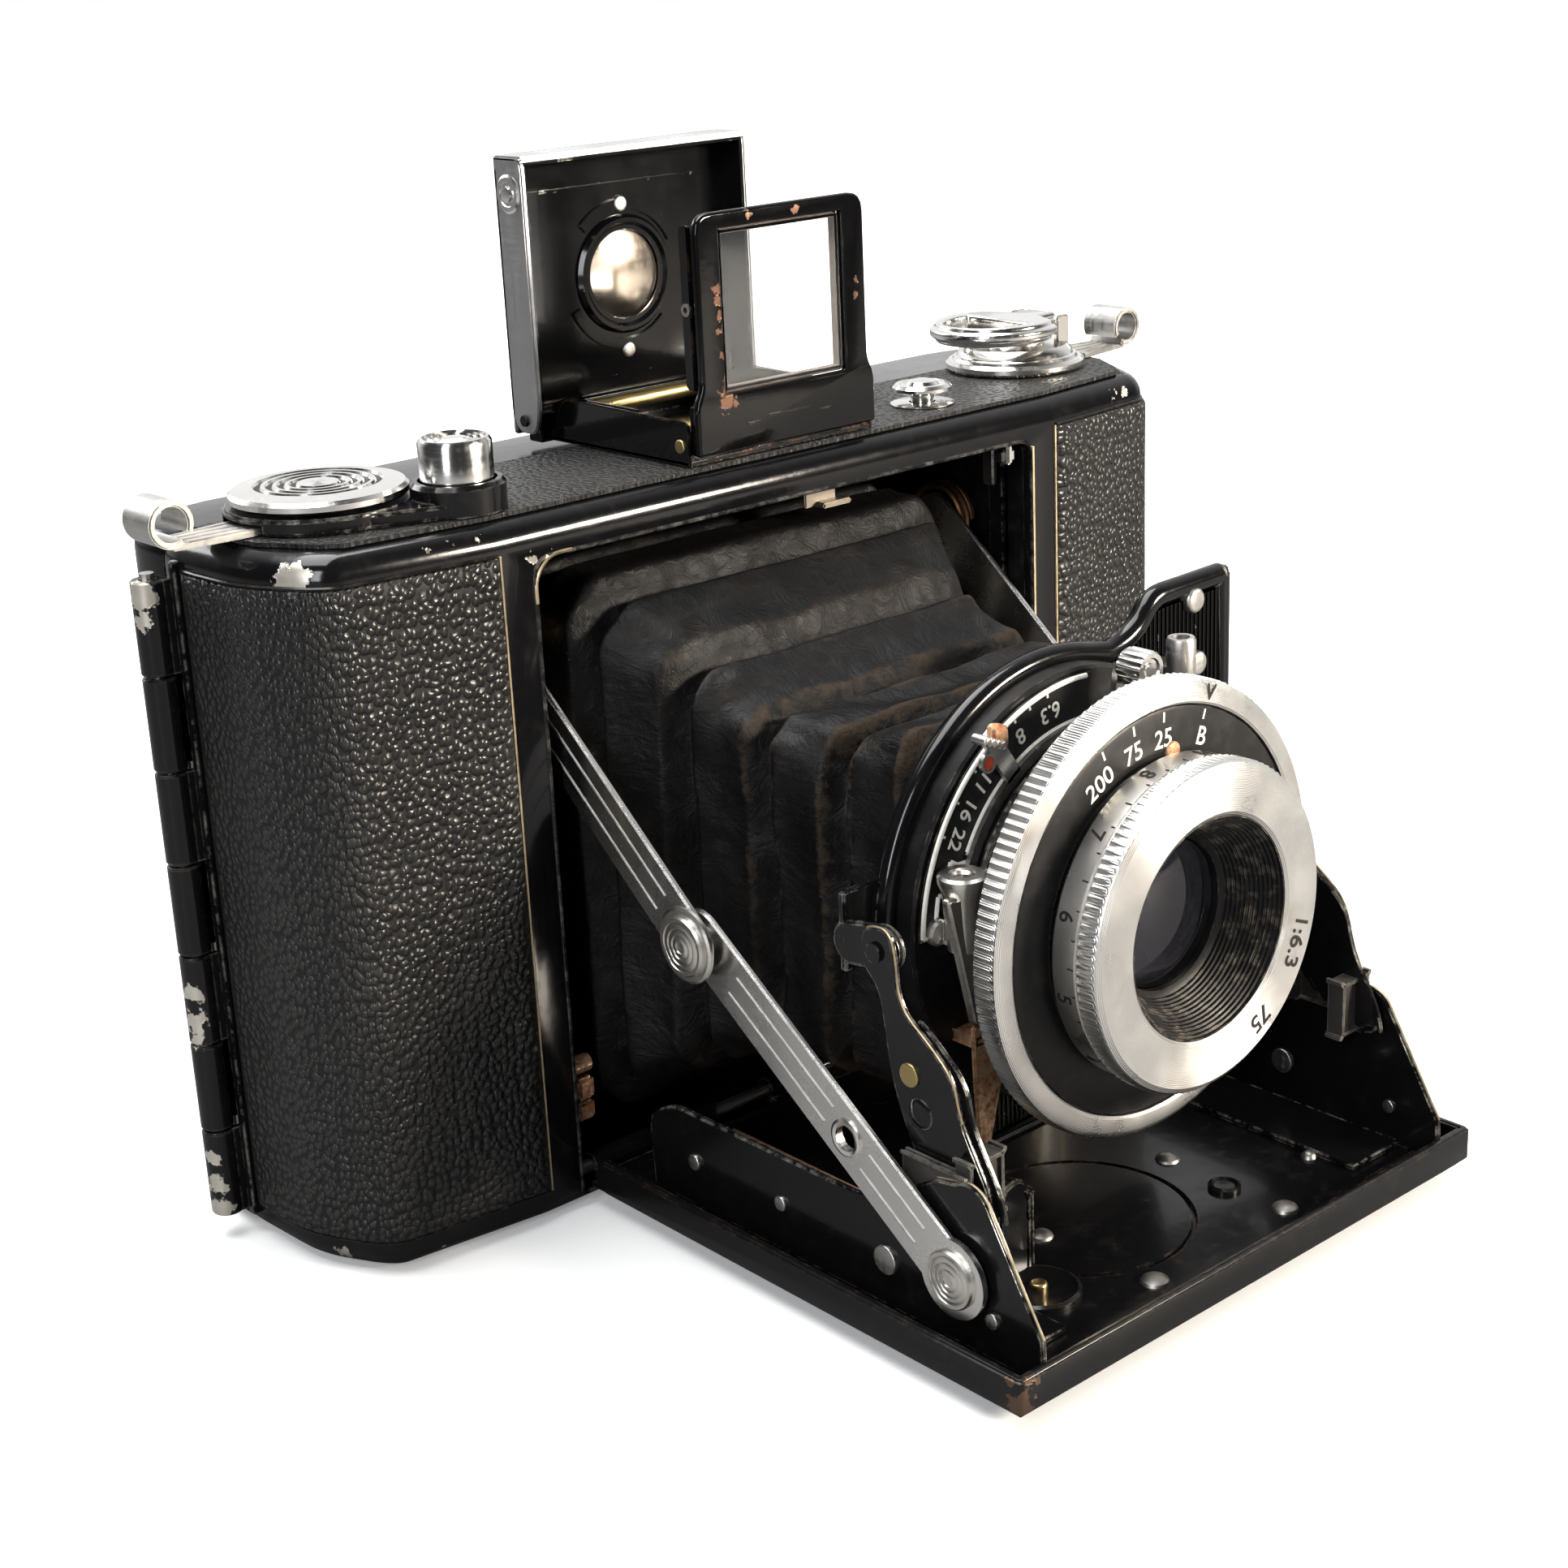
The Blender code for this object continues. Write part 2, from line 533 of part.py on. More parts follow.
def make_bed():
    pivot = side_point(BED_PIVOT)
    plate = block((-BED_HALF, BED_HALF), (ahead(BED_LENGTH), ahead(0.4)), (BED_LOW, BED_RIM))
    tray = block((-37.5, 37.5), (ahead(69.6), ahead(-8)), (BED_FLOOR, BED_RIM + 5))
    cut(plate, tray)
    cut(plate, block((-50, 50), (ahead(1.6), ahead(-8)), (BED_FLOOR, BED_RIM + 5)))
    for low, high in ((-37, -26), (-9, 9), (26, 37)):
        barrel = disc(1.5, "X", pivot, low, high, 16)
        fuse(barrel, block((low, high), (ahead(1.0), ahead(-1.4)), (2.4, BED_FLOOR)))
        cut(barrel, disc(0.95, "X", pivot, -50, 50, 16))
        fuse(plate, barrel)
    recess = disc(19.3, "Z", (0, ahead(33.0)), BED_FLOOR - 0.3, 10, 40)
    cut(plate, recess)
    origin = (0, *pivot)
    node(plate, "bed_plate", "enamel", origin)
    skin = prism(
        [(-37.4, ahead(69.4)), (37.4, ahead(69.4)), (37.4, ahead(1.6)), (-37.4, ahead(1.6))],
        "Z", 1.45, 2.0,
    )
    node(skin, "leather_bed", "leather", origin)

    for side, name in ((-1, "left"), (1, "right")):
        low, high = layer(side, BRACKET_LAYER)
        profile = [(7, 3.4), (7, 12.5), (11, 15.0), (44, 15.2), (54, 20.8)]
        crown = arc(ARM_PIVOT, 3.2, 125, 30, 6)
        outline = profile + crown + [(69.0, 8.6), (69.2, 3.4)]
        bracket = prism([side_point(p) for p in outline], "X", low, high)
        inner = layer(side, (31.5, 33.6))
        outer = layer(side, (33.6, 35.2))
        fuse(bracket, disc(1.4, "X", side_point(ARM_PIVOT), *inner, steps=16))
        fuse(bracket, disc(1.4, "X", side_point(BRACE_RIVET), *outer, steps=16))
        flange = block(layer(side, (24.5, 33.6)), (ahead(64), ahead(10)), (3.4, 4.1))
        fuse(bracket, flange)
        node(bracket, f"bed_bracket_{name}", "enamel", origin)

    foot = prism(
        [(-7, ahead(64.9)), (7, ahead(64.9)), (7, ahead(46)), (4, ahead(42)), (-4, ahead(42)),
         (-7, ahead(46))], "Z", 0.0, 1.15,
    )
    node(foot, "bed_foot", "nickel", (0, ahead(64.4), 0.7))


def make_braces():
    rivet, knee, end = map(side_point, (BRACE_RIVET, BRACE_KNEE, BRACE_END))
    for side, name in ((-1, "left"), (1, "right")):
        low, high = layer(side, LOWER_LINK_LAYER)
        lower = link(rivet, knee, 3.7, low, high)
        cut(lower, disc(1.5, "X", rivet, -50, 50, 16), disc(1.5, "X", knee, -50, 50, 16))
        fuse(lower, disc(3.6, "X", rivet, *layer(side, (35.3, 35.8)), steps=24))
        node(lower, f"brace_lower_{name}", "chrome", (side * 35, *rivet))
        low, high = layer(side, UPPER_LINK_LAYER)
        upper = link(knee, end, 3.7, low, high)
        cut(upper, disc(1.5, "X", knee, -50, 50, 16))
        node(upper, f"brace_upper_{name}", "chrome", (side * 36.5, *knee))
        stem = disc(1.4, "X", knee, *layer(side, (34.7, 37.3)), steps=16)
        cap = disc(4.4, "X", knee, *layer(side, (37.1, 38.1)), steps=28)
        node(fuse(stem, cap), f"knee_rivet_{name}", "chrome", (side * 37, *knee))
        coil = washer(2.2, 4.0, "X", (end[0] + 1.0, end[1]), *layer(side, (37.4, 39.6)), steps=20)
        node(coil, f"brace_spring_{name}", "brass")


def make_swing_arms():
    low_end, high_end = side_point(ARM_PIVOT), side_point(STANDARD_PIVOT)
    for side, name in ((-1, "left"), (1, "right")):
        low, high = layer(side, ARM_LAYER)
        arm = link(low_end, high_end, 3.0, low, high)
        cut(arm, disc(1.5, "X", low_end, -50, 50, 16), disc(1.5, "X", high_end, -50, 50, 16))
        node(arm, f"swing_arm_{name}", "enamel", (side * 32, *low_end))


def make_standard():
    rear, face = ahead(38.0), ahead(39.2)
    plate = disc(26.0, "Y", (0, LENS_Z), rear, face, 40)
    lug = [(12, 58), (14, 66.4), (16.4, 69.2), (29.6, 69.4), (30.6, 68.4), (30.6, 52), (22, 48)]
    fuse(plate, prism(lug, "Y", rear, face))
    apron = [(-24, 36), (24, 36), (21, 24), (16.5, 10.2), (-16.5, 10.2), (-21, 24)]
    fuse(plate, prism(apron, "Y", rear, face))
    for side in (-1, 1):
        x = layer(side, (22, EAR_LAYER[1]))
        fuse(plate, block(x, (face, rear), (38.6, 48.4)))
        ear = block(layer(side, EAR_LAYER), (ahead(45.1), rear), (38.6, 48.4))
        nose = disc(3.0, "X", side_point(STANDARD_PIVOT), *layer(side, EAR_LAYER), steps=20)
        pin = disc(1.4, "X", side_point(STANDARD_PIVOT), *layer(side, (30.7, 32.7)), steps=16)
        cut(ear, block(layer(side, (25, 36)), (ahead(50), ahead(42.1)), (30, 40.6)))
        cut(ear, block(layer(side, (25, 36)), (ahead(50), ahead(42.1)), (46.5, 55)))
        fuse(plate, fuse(ear, nose, pin))
    cut(plate, turned_ahead([(0, 30), (13.2, 30), (13.2, 44), (0, 44)], 40))
    lens_axis = (0, ahead(45), LENS_Z)
    node(plate, "standard_plate", "enamel", (0, *side_point(STANDARD_PIVOT)))

    rear_cell = turned_ahead([(9, 35.8), (12.9, 35.8), (12.9, 39.0), (9, 39.0)], 32)
    node(rear_cell, "rear_lens_cell", "dial_black", lens_axis)
    profile = [(12.6, 39.5), (24.8, 39.5), (24.8, 42.6), (18.0, 42.6), (18.0, 51.8), (12.6, 51.8)]
    node(turned_ahead(profile), "shutter_case", "dial_black", lens_axis)

    sector = arc((0, LENS_Z), 24.2, 92, 179, 20) + arc((0, LENS_Z), 19.9, 179, 92, 20)
    scale = prism(sector, "Y", ahead(42.9), ahead(43.4))
    node(scale, "aperture_scale", "dial_black", lens_axis)
    socket = turned(
        [(0.9, ahead(44.9)), (2.5, ahead(44.9)), (2.5, ahead(50)), (0.9, ahead(50))],
        "Y", (-21.6, 46.6), 16,
    )
    fuse(socket, block((-25.0, -18.6), (ahead(45.6), ahead(44.9)), (36.5, 49)))
    fuse(socket, block((-24.6, -23.6), (ahead(45.6), ahead(42.9)), (36.8, 40.2)))
    node(socket, "cable_socket", "nickel", lens_axis)

    for name, angle, reach, start, finish in (
        ("aperture_lever", 125, 27.2, 43.7, "nickel"),
        ("release_lever", 80, 26.6, 46.0, "chrome"),
    ):
        hub = turned_ahead([(18.2, start), (19.4, start), (19.4, start + 0.8), (18.2, start + 0.8)], 28)
        turn = math.radians(angle)
        along, across = Vector((math.cos(turn), math.sin(turn))), Vector((-math.sin(turn), math.cos(turn)))
        corners = [along * r + across * w for r, w in
                   ((18.8, 1.3), (reach, 1.3), (reach, -1.3), (18.8, -1.3))]
        arm = prism([(p.x, LENS_Z + p.y) for p in corners], "Y", ahead(start), ahead(start + 0.8))
        tip = along * (reach - 0.6)
        knob = disc(1.7, "Y", (tip.x, LENS_Z + tip.y), ahead(start), ahead(start + 2.6), 12)
        node(fuse(hub, arm, knob), name, finish, lens_axis)

    ring = [(18.2, 52.2), (25.8, 52.2), (25.8, 55.2), (25.4, 55.6), (23.0, 55.6), (23.0, 53.0)]
    node(turned_ahead(ring + [(18.2, 53.0)], 44), "speed_ring", "aluminium", lens_axis)
    dial = [(17.2, 53.4), (22.7, 53.4), (22.7, 55.3), (17.2, 55.3)]
    node(turned_ahead(dial), "speed_dial", "dial_black", lens_axis)
    cell = [(12.3, 52.4), (16.6, 52.4), (16.6, 56.0), (18.4, 56.5), (18.5, 62.4), (18.1, 62.8)]
    node(turned_ahead(cell + [(12.3, 62.8)]), "focus_ring", "aluminium", lens_axis)
    cone = [(8.6, 55.6), (12.0, 55.6), (12.0, 62.2), (11.6, 62.2), (8.6, 57.4)]
    node(turned_ahead(cone, 32), "lens_cone", "dial_black", lens_axis)
    glass = [(0, 52.8), (8.2, 52.8), (8.2, 55.4), (6, 56.2), (3, 56.6), (0, 56.8)]
    node(turned_ahead(glass, 24), "front_glass", "glass", lens_axis)


def main():
    clear_scene()
    make_body()
    make_film_gate()
    make_bellows()
    make_back()
    make_top()
    make_finder()
    make_bed()
    make_braces()
    make_swing_arms()
    make_standard()


main()
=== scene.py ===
import json
import math

import bmesh
import bpy
from mathutils import Matrix, Vector, noise


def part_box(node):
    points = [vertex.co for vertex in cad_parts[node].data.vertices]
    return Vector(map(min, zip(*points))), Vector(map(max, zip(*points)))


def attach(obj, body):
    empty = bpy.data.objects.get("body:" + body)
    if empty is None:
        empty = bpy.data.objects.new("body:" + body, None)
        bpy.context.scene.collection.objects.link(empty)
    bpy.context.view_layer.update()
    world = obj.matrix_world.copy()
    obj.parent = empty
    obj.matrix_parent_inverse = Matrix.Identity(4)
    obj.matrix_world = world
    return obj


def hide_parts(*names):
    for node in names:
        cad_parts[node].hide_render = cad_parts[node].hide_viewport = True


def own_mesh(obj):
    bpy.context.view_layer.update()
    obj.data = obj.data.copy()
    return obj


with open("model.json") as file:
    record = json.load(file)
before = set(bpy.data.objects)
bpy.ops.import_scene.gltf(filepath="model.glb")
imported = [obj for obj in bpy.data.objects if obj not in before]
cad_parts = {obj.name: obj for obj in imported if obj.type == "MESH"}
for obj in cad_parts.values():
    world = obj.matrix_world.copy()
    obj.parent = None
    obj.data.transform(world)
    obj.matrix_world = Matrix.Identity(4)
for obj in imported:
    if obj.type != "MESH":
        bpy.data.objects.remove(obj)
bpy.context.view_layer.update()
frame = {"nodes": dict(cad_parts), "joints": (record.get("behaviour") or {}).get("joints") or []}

# Shapes are modelled in millimetres in the model's own frame: +Z up, and the lens looks along -Y.
# "Ahead" is a distance in front of the body's front face.
MM = 0.001


def box_mm(node):
    low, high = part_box(node)
    return low / MM, high / MM


def joint_mm(name):
    return next(Vector(j["pos_m"]) / MM for j in frame["joints"] if j["name"] == name)


FRONT = box_mm("body_shell")[0].y
BODY_TOP = box_mm("body_shell")[1].z
HALF_WIDTH = box_mm("body_shell")[1].x
BACK = 6.0  # where the front shell ends and the back door begins
LENS_Z = joint_mm("focus_turn").z
OPENING_HALF, OPENING_LOW, OPENING_HIGH = 39.4, 1.7, 79.3
PANEL_EDGE = 44.2
END_CURVE = [(PANEL_EDGE, FRONT), (63.4, FRONT + 2.2), (65.6, FRONT + 4.4), (69.4, FRONT + 11.6)]

SIDES = ((-1, "left"), (1, "right"))

BED = joint_mm("bed_hinge")
ARM = joint_mm("standard_arm_hinge")
STANDARD = joint_mm("standard_hinge")
BED_RIVET = joint_mm("lower_brace_hinge")
KNEE = joint_mm("brace_knee")
BACK_AXIS = joint_mm("back_door_hinge")


def ahead(distance):
    return FRONT - distance


def reach(start, end):
    """The Y range between two distances ahead."""
    return ahead(start), ahead(end)


# ---------------------------------------------------------------- shapes


def at(along, u, v, w):
    """The point with in-plane coordinates u, v (in X, Y, Z order) and w along the axis."""
    return {"X": (w, u, v), "Y": (u, w, v), "Z": (u, v, w)}[along]


def seen_along(along, place):
    """The in-plane coordinates of a centre, which may also be a joint's place in space."""
    if len(place) == 2:
        return place
    return {"X": (place[1], place[2]), "Y": (place[0], place[2]), "Z": (place[0], place[1])}[along]


def shown(name, data):
    """A new object in the scene that holds these data."""
    made = bpy.data.objects.new(name, data)
    bpy.context.scene.collection.objects.link(made)
    return made


def object_from(shape):
    """Turns a bmesh in millimetres into an object in metres."""
    bmesh.ops.recalc_face_normals(shape, faces=shape.faces)
    bmesh.ops.scale(shape, vec=Vector((MM, MM, MM)), verts=shape.verts)
    mesh = bpy.data.meshes.new("shape")
    shape.to_mesh(mesh)
    shape.free()
    return shown("shape", mesh)


def applied(obj):
    """Makes the object's modifiers part of its mesh."""
    bpy.context.view_layer.update()
    graph = bpy.context.evaluated_depsgraph_get()
    result = bpy.data.meshes.new_from_object(obj.evaluated_get(graph))
    obj.modifiers.clear()
    obj.data = result
    return obj


def bridge(shape, ring, following, closed=True):
    """Faces between two rows of points of the same length."""
    for i in range(len(ring) if closed else len(ring) - 1):
        j = (i + 1) % len(ring)
        shape.faces.new((ring[i], ring[j], following[j], following[i]))


def rectangle(x0, x1, z0, z1):
    return [(x0, z0), (x1, z0), (x1, z1), (x0, z1)]


def prism(outline, along, start, end, bevel=0.0, segments=2):
    shape = bmesh.new()
    low = [shape.verts.new(at(along, u, v, start)) for u, v in outline]
    high = [shape.verts.new(at(along, u, v, end)) for u, v in outline]
    shape.faces.new(low)
    shape.faces.new(high)
    bridge(shape, low, high)
    if bevel:
        bmesh.ops.recalc_face_normals(shape, faces=shape.faces)
        rim = [e for e in shape.edges if (e.verts[0] in low) == (e.verts[1] in low)]
        bmesh.ops.bevel(shape, geom=rim, offset=bevel, segments=segments, affect="EDGES",
                        clamp_overlap=True)
    return object_from(shape)


def loft(outlines, along):
    """A solid through (outline, place) pairs whose outlines have the same number of points."""
    shape = bmesh.new()
    rings = [[shape.verts.new(at(along, u, v, place)) for u, v in outline] for outline, place in outlines]
    shape.faces.new(rings[0])
    shape.faces.new(rings[-1])
    for ring, following in zip(rings, rings[1:]):
        bridge(shape, ring, following)
    return object_from(shape)


def faceplate(outline, start, end, bevel=0.0, segments=2):
    """A flat piece whose face looks ahead, between two distances ahead."""
    return prism(outline, "Y", ahead(start), ahead(end), bevel, segments)


def shoulders(radius, low, high, steps=7):
    """(inset, height) pairs that round both ends of an upright wall."""
    turns = [math.pi / 2 * i / steps for i in range(steps + 1)]
    foot = [(radius * (1 - math.sin(t)), low + radius * (1 - math.cos(t))) for t in turns]
    return foot + [(inset_by, high - (z - low)) for inset_by, z in reversed(foot)]


def block(x, y, z, bevel=0.15):
    shape = bmesh.new()
    bmesh.ops.create_cube(shape, size=1)
    for vert in shape.verts:
        for i, (low, high) in enumerate((x, y, z)):
            vert.co[i] = low if vert.co[i] < 0 else high
    if bevel:
        bmesh.ops.bevel(shape, geom=shape.edges[:], offset=bevel, segments=2, affect="EDGES")
    return object_from(shape)


def turned(profile, along, centre, steps=96, teeth=None):
    """A turned piece from a closed loop of (radius, place). teeth = (first, last, depth) cuts a
    tooth at every second step into the profile points with those numbers."""
    centre = seen_along(along, centre)
    shape = bmesh.new()
    rings = []
    for index, (radius, place) in enumerate(profile):
        if radius == 0:
            rings.append([shape.verts.new(at(along, centre[0], centre[1], place))])
            continue
        ring = []
        for i in range(steps):
            turn = 2 * math.pi * i / steps
            cut = teeth[2] if teeth and teeth[0] <= index <= teeth[1] and i % 2 else 0
            u = centre[0] + (radius - cut) * math.cos(turn)
            v = centre[1] + (radius - cut) * math.sin(turn)
            ring.append(shape.verts.new(at(along, u, v, place)))
        rings.append(ring)
    for i, ring in enumerate(rings):
        following = rings[(i + 1) % len(rings)]
        if len(ring) == 1 and len(following) == 1:
            continue
        for k in range(steps):
            m = (k + 1) % steps
            corners = [ring[k % len(ring)], ring[m % len(ring)]]
            corners += [following[m % len(following)], following[k % len(following)]]
            shape.faces.new(list(dict.fromkeys(corners)))
    return object_from(shape)


def turned_ahead(profile, steps=128, teeth=None, centre=(0, LENS_Z)):
    """A piece turned about the lens axis, from (radius, ahead) points."""
    return turned([(r, ahead(s)) for r, s in profile], "Y", centre, steps, teeth)


def rounded_disc(radius, start, end, edge):
    """Profile of a solid disc whose far edge is rounded."""
    way = 1 if end > start else -1
    points = [(0, start), (radius, start)]
    for i in range(5):
        turn = math.pi / 2 * i / 4
        points.append((radius - edge + edge * math.cos(turn), end - way * edge * (1 - math.sin(turn))))
    return points + [(0, end)]


def disc(radius, start, end, edge, along, centre, steps):
    """A pin, rivet or cutter: a turned disc whose far edge is rounded."""
    return turned(rounded_disc(radius, start, end, edge), along, centre, steps)


def disc_ahead(radius, start, end, edge, steps, centre):
    return turned_ahead(rounded_disc(radius, start, end, edge), steps, centre=centre)


def ringed_cap(radius, start, height, rings):
    """Profile of a rivet head with concentric rings turned into its top."""
    points = [(0, start), (radius, start), (radius, start + height * 0.5)]
    for i in range(rings):
        outer = radius * (0.94 - 0.86 * i / rings)
        inner = radius * (0.94 - 0.86 * (i + 0.55) / rings)
        rise = height * (0.8 + 0.2 * (i + 1) / rings)
        points += [(outer, start + rise), (inner + radius * 0.02, start + rise)]
        points += [(inner, start + rise - height * 0.16)]
    return points + [(0, start + height * 0.8)]


def arc(centre, radius, start, end, steps):
    turns = [math.radians(start + (end - start) * i / steps) for i in range(steps + 1)]
    return [(centre[0] + radius * math.cos(t), centre[1] + radius * math.sin(t)) for t in turns]


def filleted(points, radii, steps=6, closed=True):
    """The outline with its corners rounded."""
    made = []
    count = len(points)
    for i, point in enumerate(points):
        radius = radii[i] if isinstance(radii, (list, tuple)) else radii
        if not radius or (not closed and i in (0, count - 1)):
            made.append(tuple(point))
            continue
        here = Vector(point)
        before = Vector(points[i - 1]) - here
        after = Vector(points[(i + 1) % count]) - here
        trim = min(radius, before.length * 0.48, after.length * 0.48)
        first, last = here + before.normalized() * trim, here + after.normalized() * trim
        for k in range(steps + 1):
            share = k / steps
            made.append(tuple(first.lerp(here, share).lerp(here.lerp(last, share), share)))
    return made


def tube(points, radius, sides=8, closed=False, flat=1.0):
    """A round or flattened bar along a path of (x, y, z) points."""
    path = [Vector(p) for p in points]
    shape = bmesh.new()
    rings = []
    normal = None
    for i, place in enumerate(path):
        before = path[i - 1] if i or closed else place
        after = path[(i + 1) % len(path)] if i < len(path) - 1 or closed else place
        way = (after - before).normalized()
        if normal is None:
            normal = way.orthogonal().normalized()
        normal = (normal - way * normal.dot(way)).normalized()
        other = way.cross(normal)
        ring = []
        for k in range(sides):
            turn = 2 * math.pi * k / sides
            offset = normal * math.cos(turn) * radius + other * math.sin(turn) * radius * flat
            ring.append(shape.verts.new(place + offset))
        rings.append(ring)
    spans = len(rings) if closed else len(rings) - 1
    for i in range(spans):
        bridge(shape, rings[i], rings[(i + 1) % len(rings)])
    if not closed:
        shape.faces.new(rings[0][::-1])
        shape.faces.new(rings[-1])
    return object_from(shape)


def boolean(base, other, operation):
    cutter = base.modifiers.new("boolean", "BOOLEAN")
    cutter.object = other
    cutter.operation = operation
    cutter.solver = "EXACT"
    applied(base)
    bpy.data.objects.remove(other, do_unlink=True)
    return base


def cut(base, *others):
    for other in others:
        boolean(base, other, "DIFFERENCE")
    return base


def fuse(base, *others):
    for other in others:
        boolean(base, other, "UNION")
    return base


def joined(parts):
    """Several separate solids as one object."""
    shape = bmesh.new()
    for part in parts:
        part.data.transform(part.matrix_world)
        shape.from_mesh(part.data)
        bpy.data.objects.remove(part, do_unlink=True)
    mesh = bpy.data.meshes.new("joined")
    shape.to_mesh(mesh)
    shape.free()
    return shown("joined", mesh)


def softened(obj, width, segments=2):
    """Rounds every sharp edge a little."""
    bevel = obj.modifiers.new("bevel", "BEVEL")
    bevel.width = width * MM
    bevel.segments = segments
    bevel.limit_method = "ANGLE"
    bevel.angle_limit = math.radians(35)
    return applied(obj)


def facing_front(x, z, place, turn):
    """Stands a flat drawing in a plane facing -Y, turned about its own middle."""
    c, s = math.cos(turn), math.sin(turn)
    return Matrix(((c, -s, 0, x), (0, 0, -1, ahead(place)), (s, c, 0, z), (0, 0, 0, 1)))


def figures(text, size, matrix):
    """Raised figures in the plain default typeface, in millimetres."""
    depth = 0.06
    curve = bpy.data.curves.new("figures", "FONT")
    curve.body = text
    curve.size = size
    curve.extrude = depth / 2
    curve.align_x = "CENTER"
    curve.align_y = "CENTER"
    curve.offset = 0.01 * size
    holder = shown("figures", curve)
    bpy.context.view_layer.update()
    graph = bpy.context.evaluated_depsgraph_get()
    mesh = bpy.data.meshes.new_from_object(holder.evaluated_get(graph))
    bpy.data.objects.remove(holder, do_unlink=True)
    mesh.transform(Matrix.Scale(MM, 4) @ matrix)
    return shown("figures", mesh)


def around_lens(text, angle, radius, place, size, inward=False):
    """Figures on a ring about the lens axis, reading one way or the other."""
    turn = math.radians(angle)
    x, z = radius * math.cos(turn), LENS_Z + radius * math.sin(turn)
    reading = turn + math.pi / 2 if inward else turn - math.pi / 2
    return figures(text, size, facing_front(x, z, place, reading))


def on_barrel(text, angle, radius, place, size):
    """Figures on the outside of a ring about the lens axis, reading round it."""
    turn = math.radians(angle)
    out = Vector((math.cos(turn), 0, math.sin(turn)))
    up = Vector((0, -1, 0))
    reading = up.cross(out)
    spot = out * radius + Vector((0, ahead(place), LENS_Z))
    return figures(text, size, Matrix.Translation(spot) @ Matrix((reading, up, out)).transposed().to_4x4())


def spoke(angle, inner, outer, width, start, end):
    """A flat bar in a plane facing front, pointing away from the lens axis."""
    turn = math.radians(angle)
    along = Vector((math.cos(turn), math.sin(turn)))
    across = Vector((-along.y, along.x)) * width / 2
    corners = [along * inner - across, along * outer - across]
    corners += [along * outer + across, along * inner + across]
    return faceplate([(p.x, p.y + LENS_Z) for p in corners], start, end)


def link(first, second, half_width, start, end, bevel=0.25):
    """A flat bar with round ends between two pivots, across X."""
    first, second = seen_along("X", first), seen_along("X", second)
    turn = math.degrees(math.atan2(second[1] - first[1], second[0] - first[0]))
    outline = arc(second, half_width, turn - 90, turn + 90, 20)
    outline += arc(first, half_width, turn + 90, turn + 270, 20)
    return prism(outline, "X", start, end, bevel=bevel)


def layer(side, near, far):
    return sorted((side * near, side * far))


# ---------------------------------------------------------------- materials


LOOKS = {}  # every material made here, under its own name


class Nodes:
    """Short names for making and joining the nodes of one tree."""

    def __init__(self, tree):
        self.nodes, self.links = tree.nodes, tree.links

    def feed(self, socket, value):
        if isinstance(value, bpy.types.NodeSocket):
            self.links.new(value, socket)
        else:
            socket.default_value = value

    def node(self, kind, inputs=None, **settings):
        made = self.nodes.new("ShaderNode" + kind)
        for key, value in settings.items():
            setattr(made, key, value)
        for key, value in (inputs or {}).items():
            self.feed(made.inputs[key], value)
        return made

    def maths(self, operation, first, second=0.0):
        return self.node("Math", {0: first, 1: second}, operation=operation).outputs[0]

    def times(self, first, second):
        return self.maths("MULTIPLY", first, second)

    def plus(self, first, second):
        return self.maths("ADD", first, second)

    def most(self, first, second):
        return self.maths("MAXIMUM", first, second)


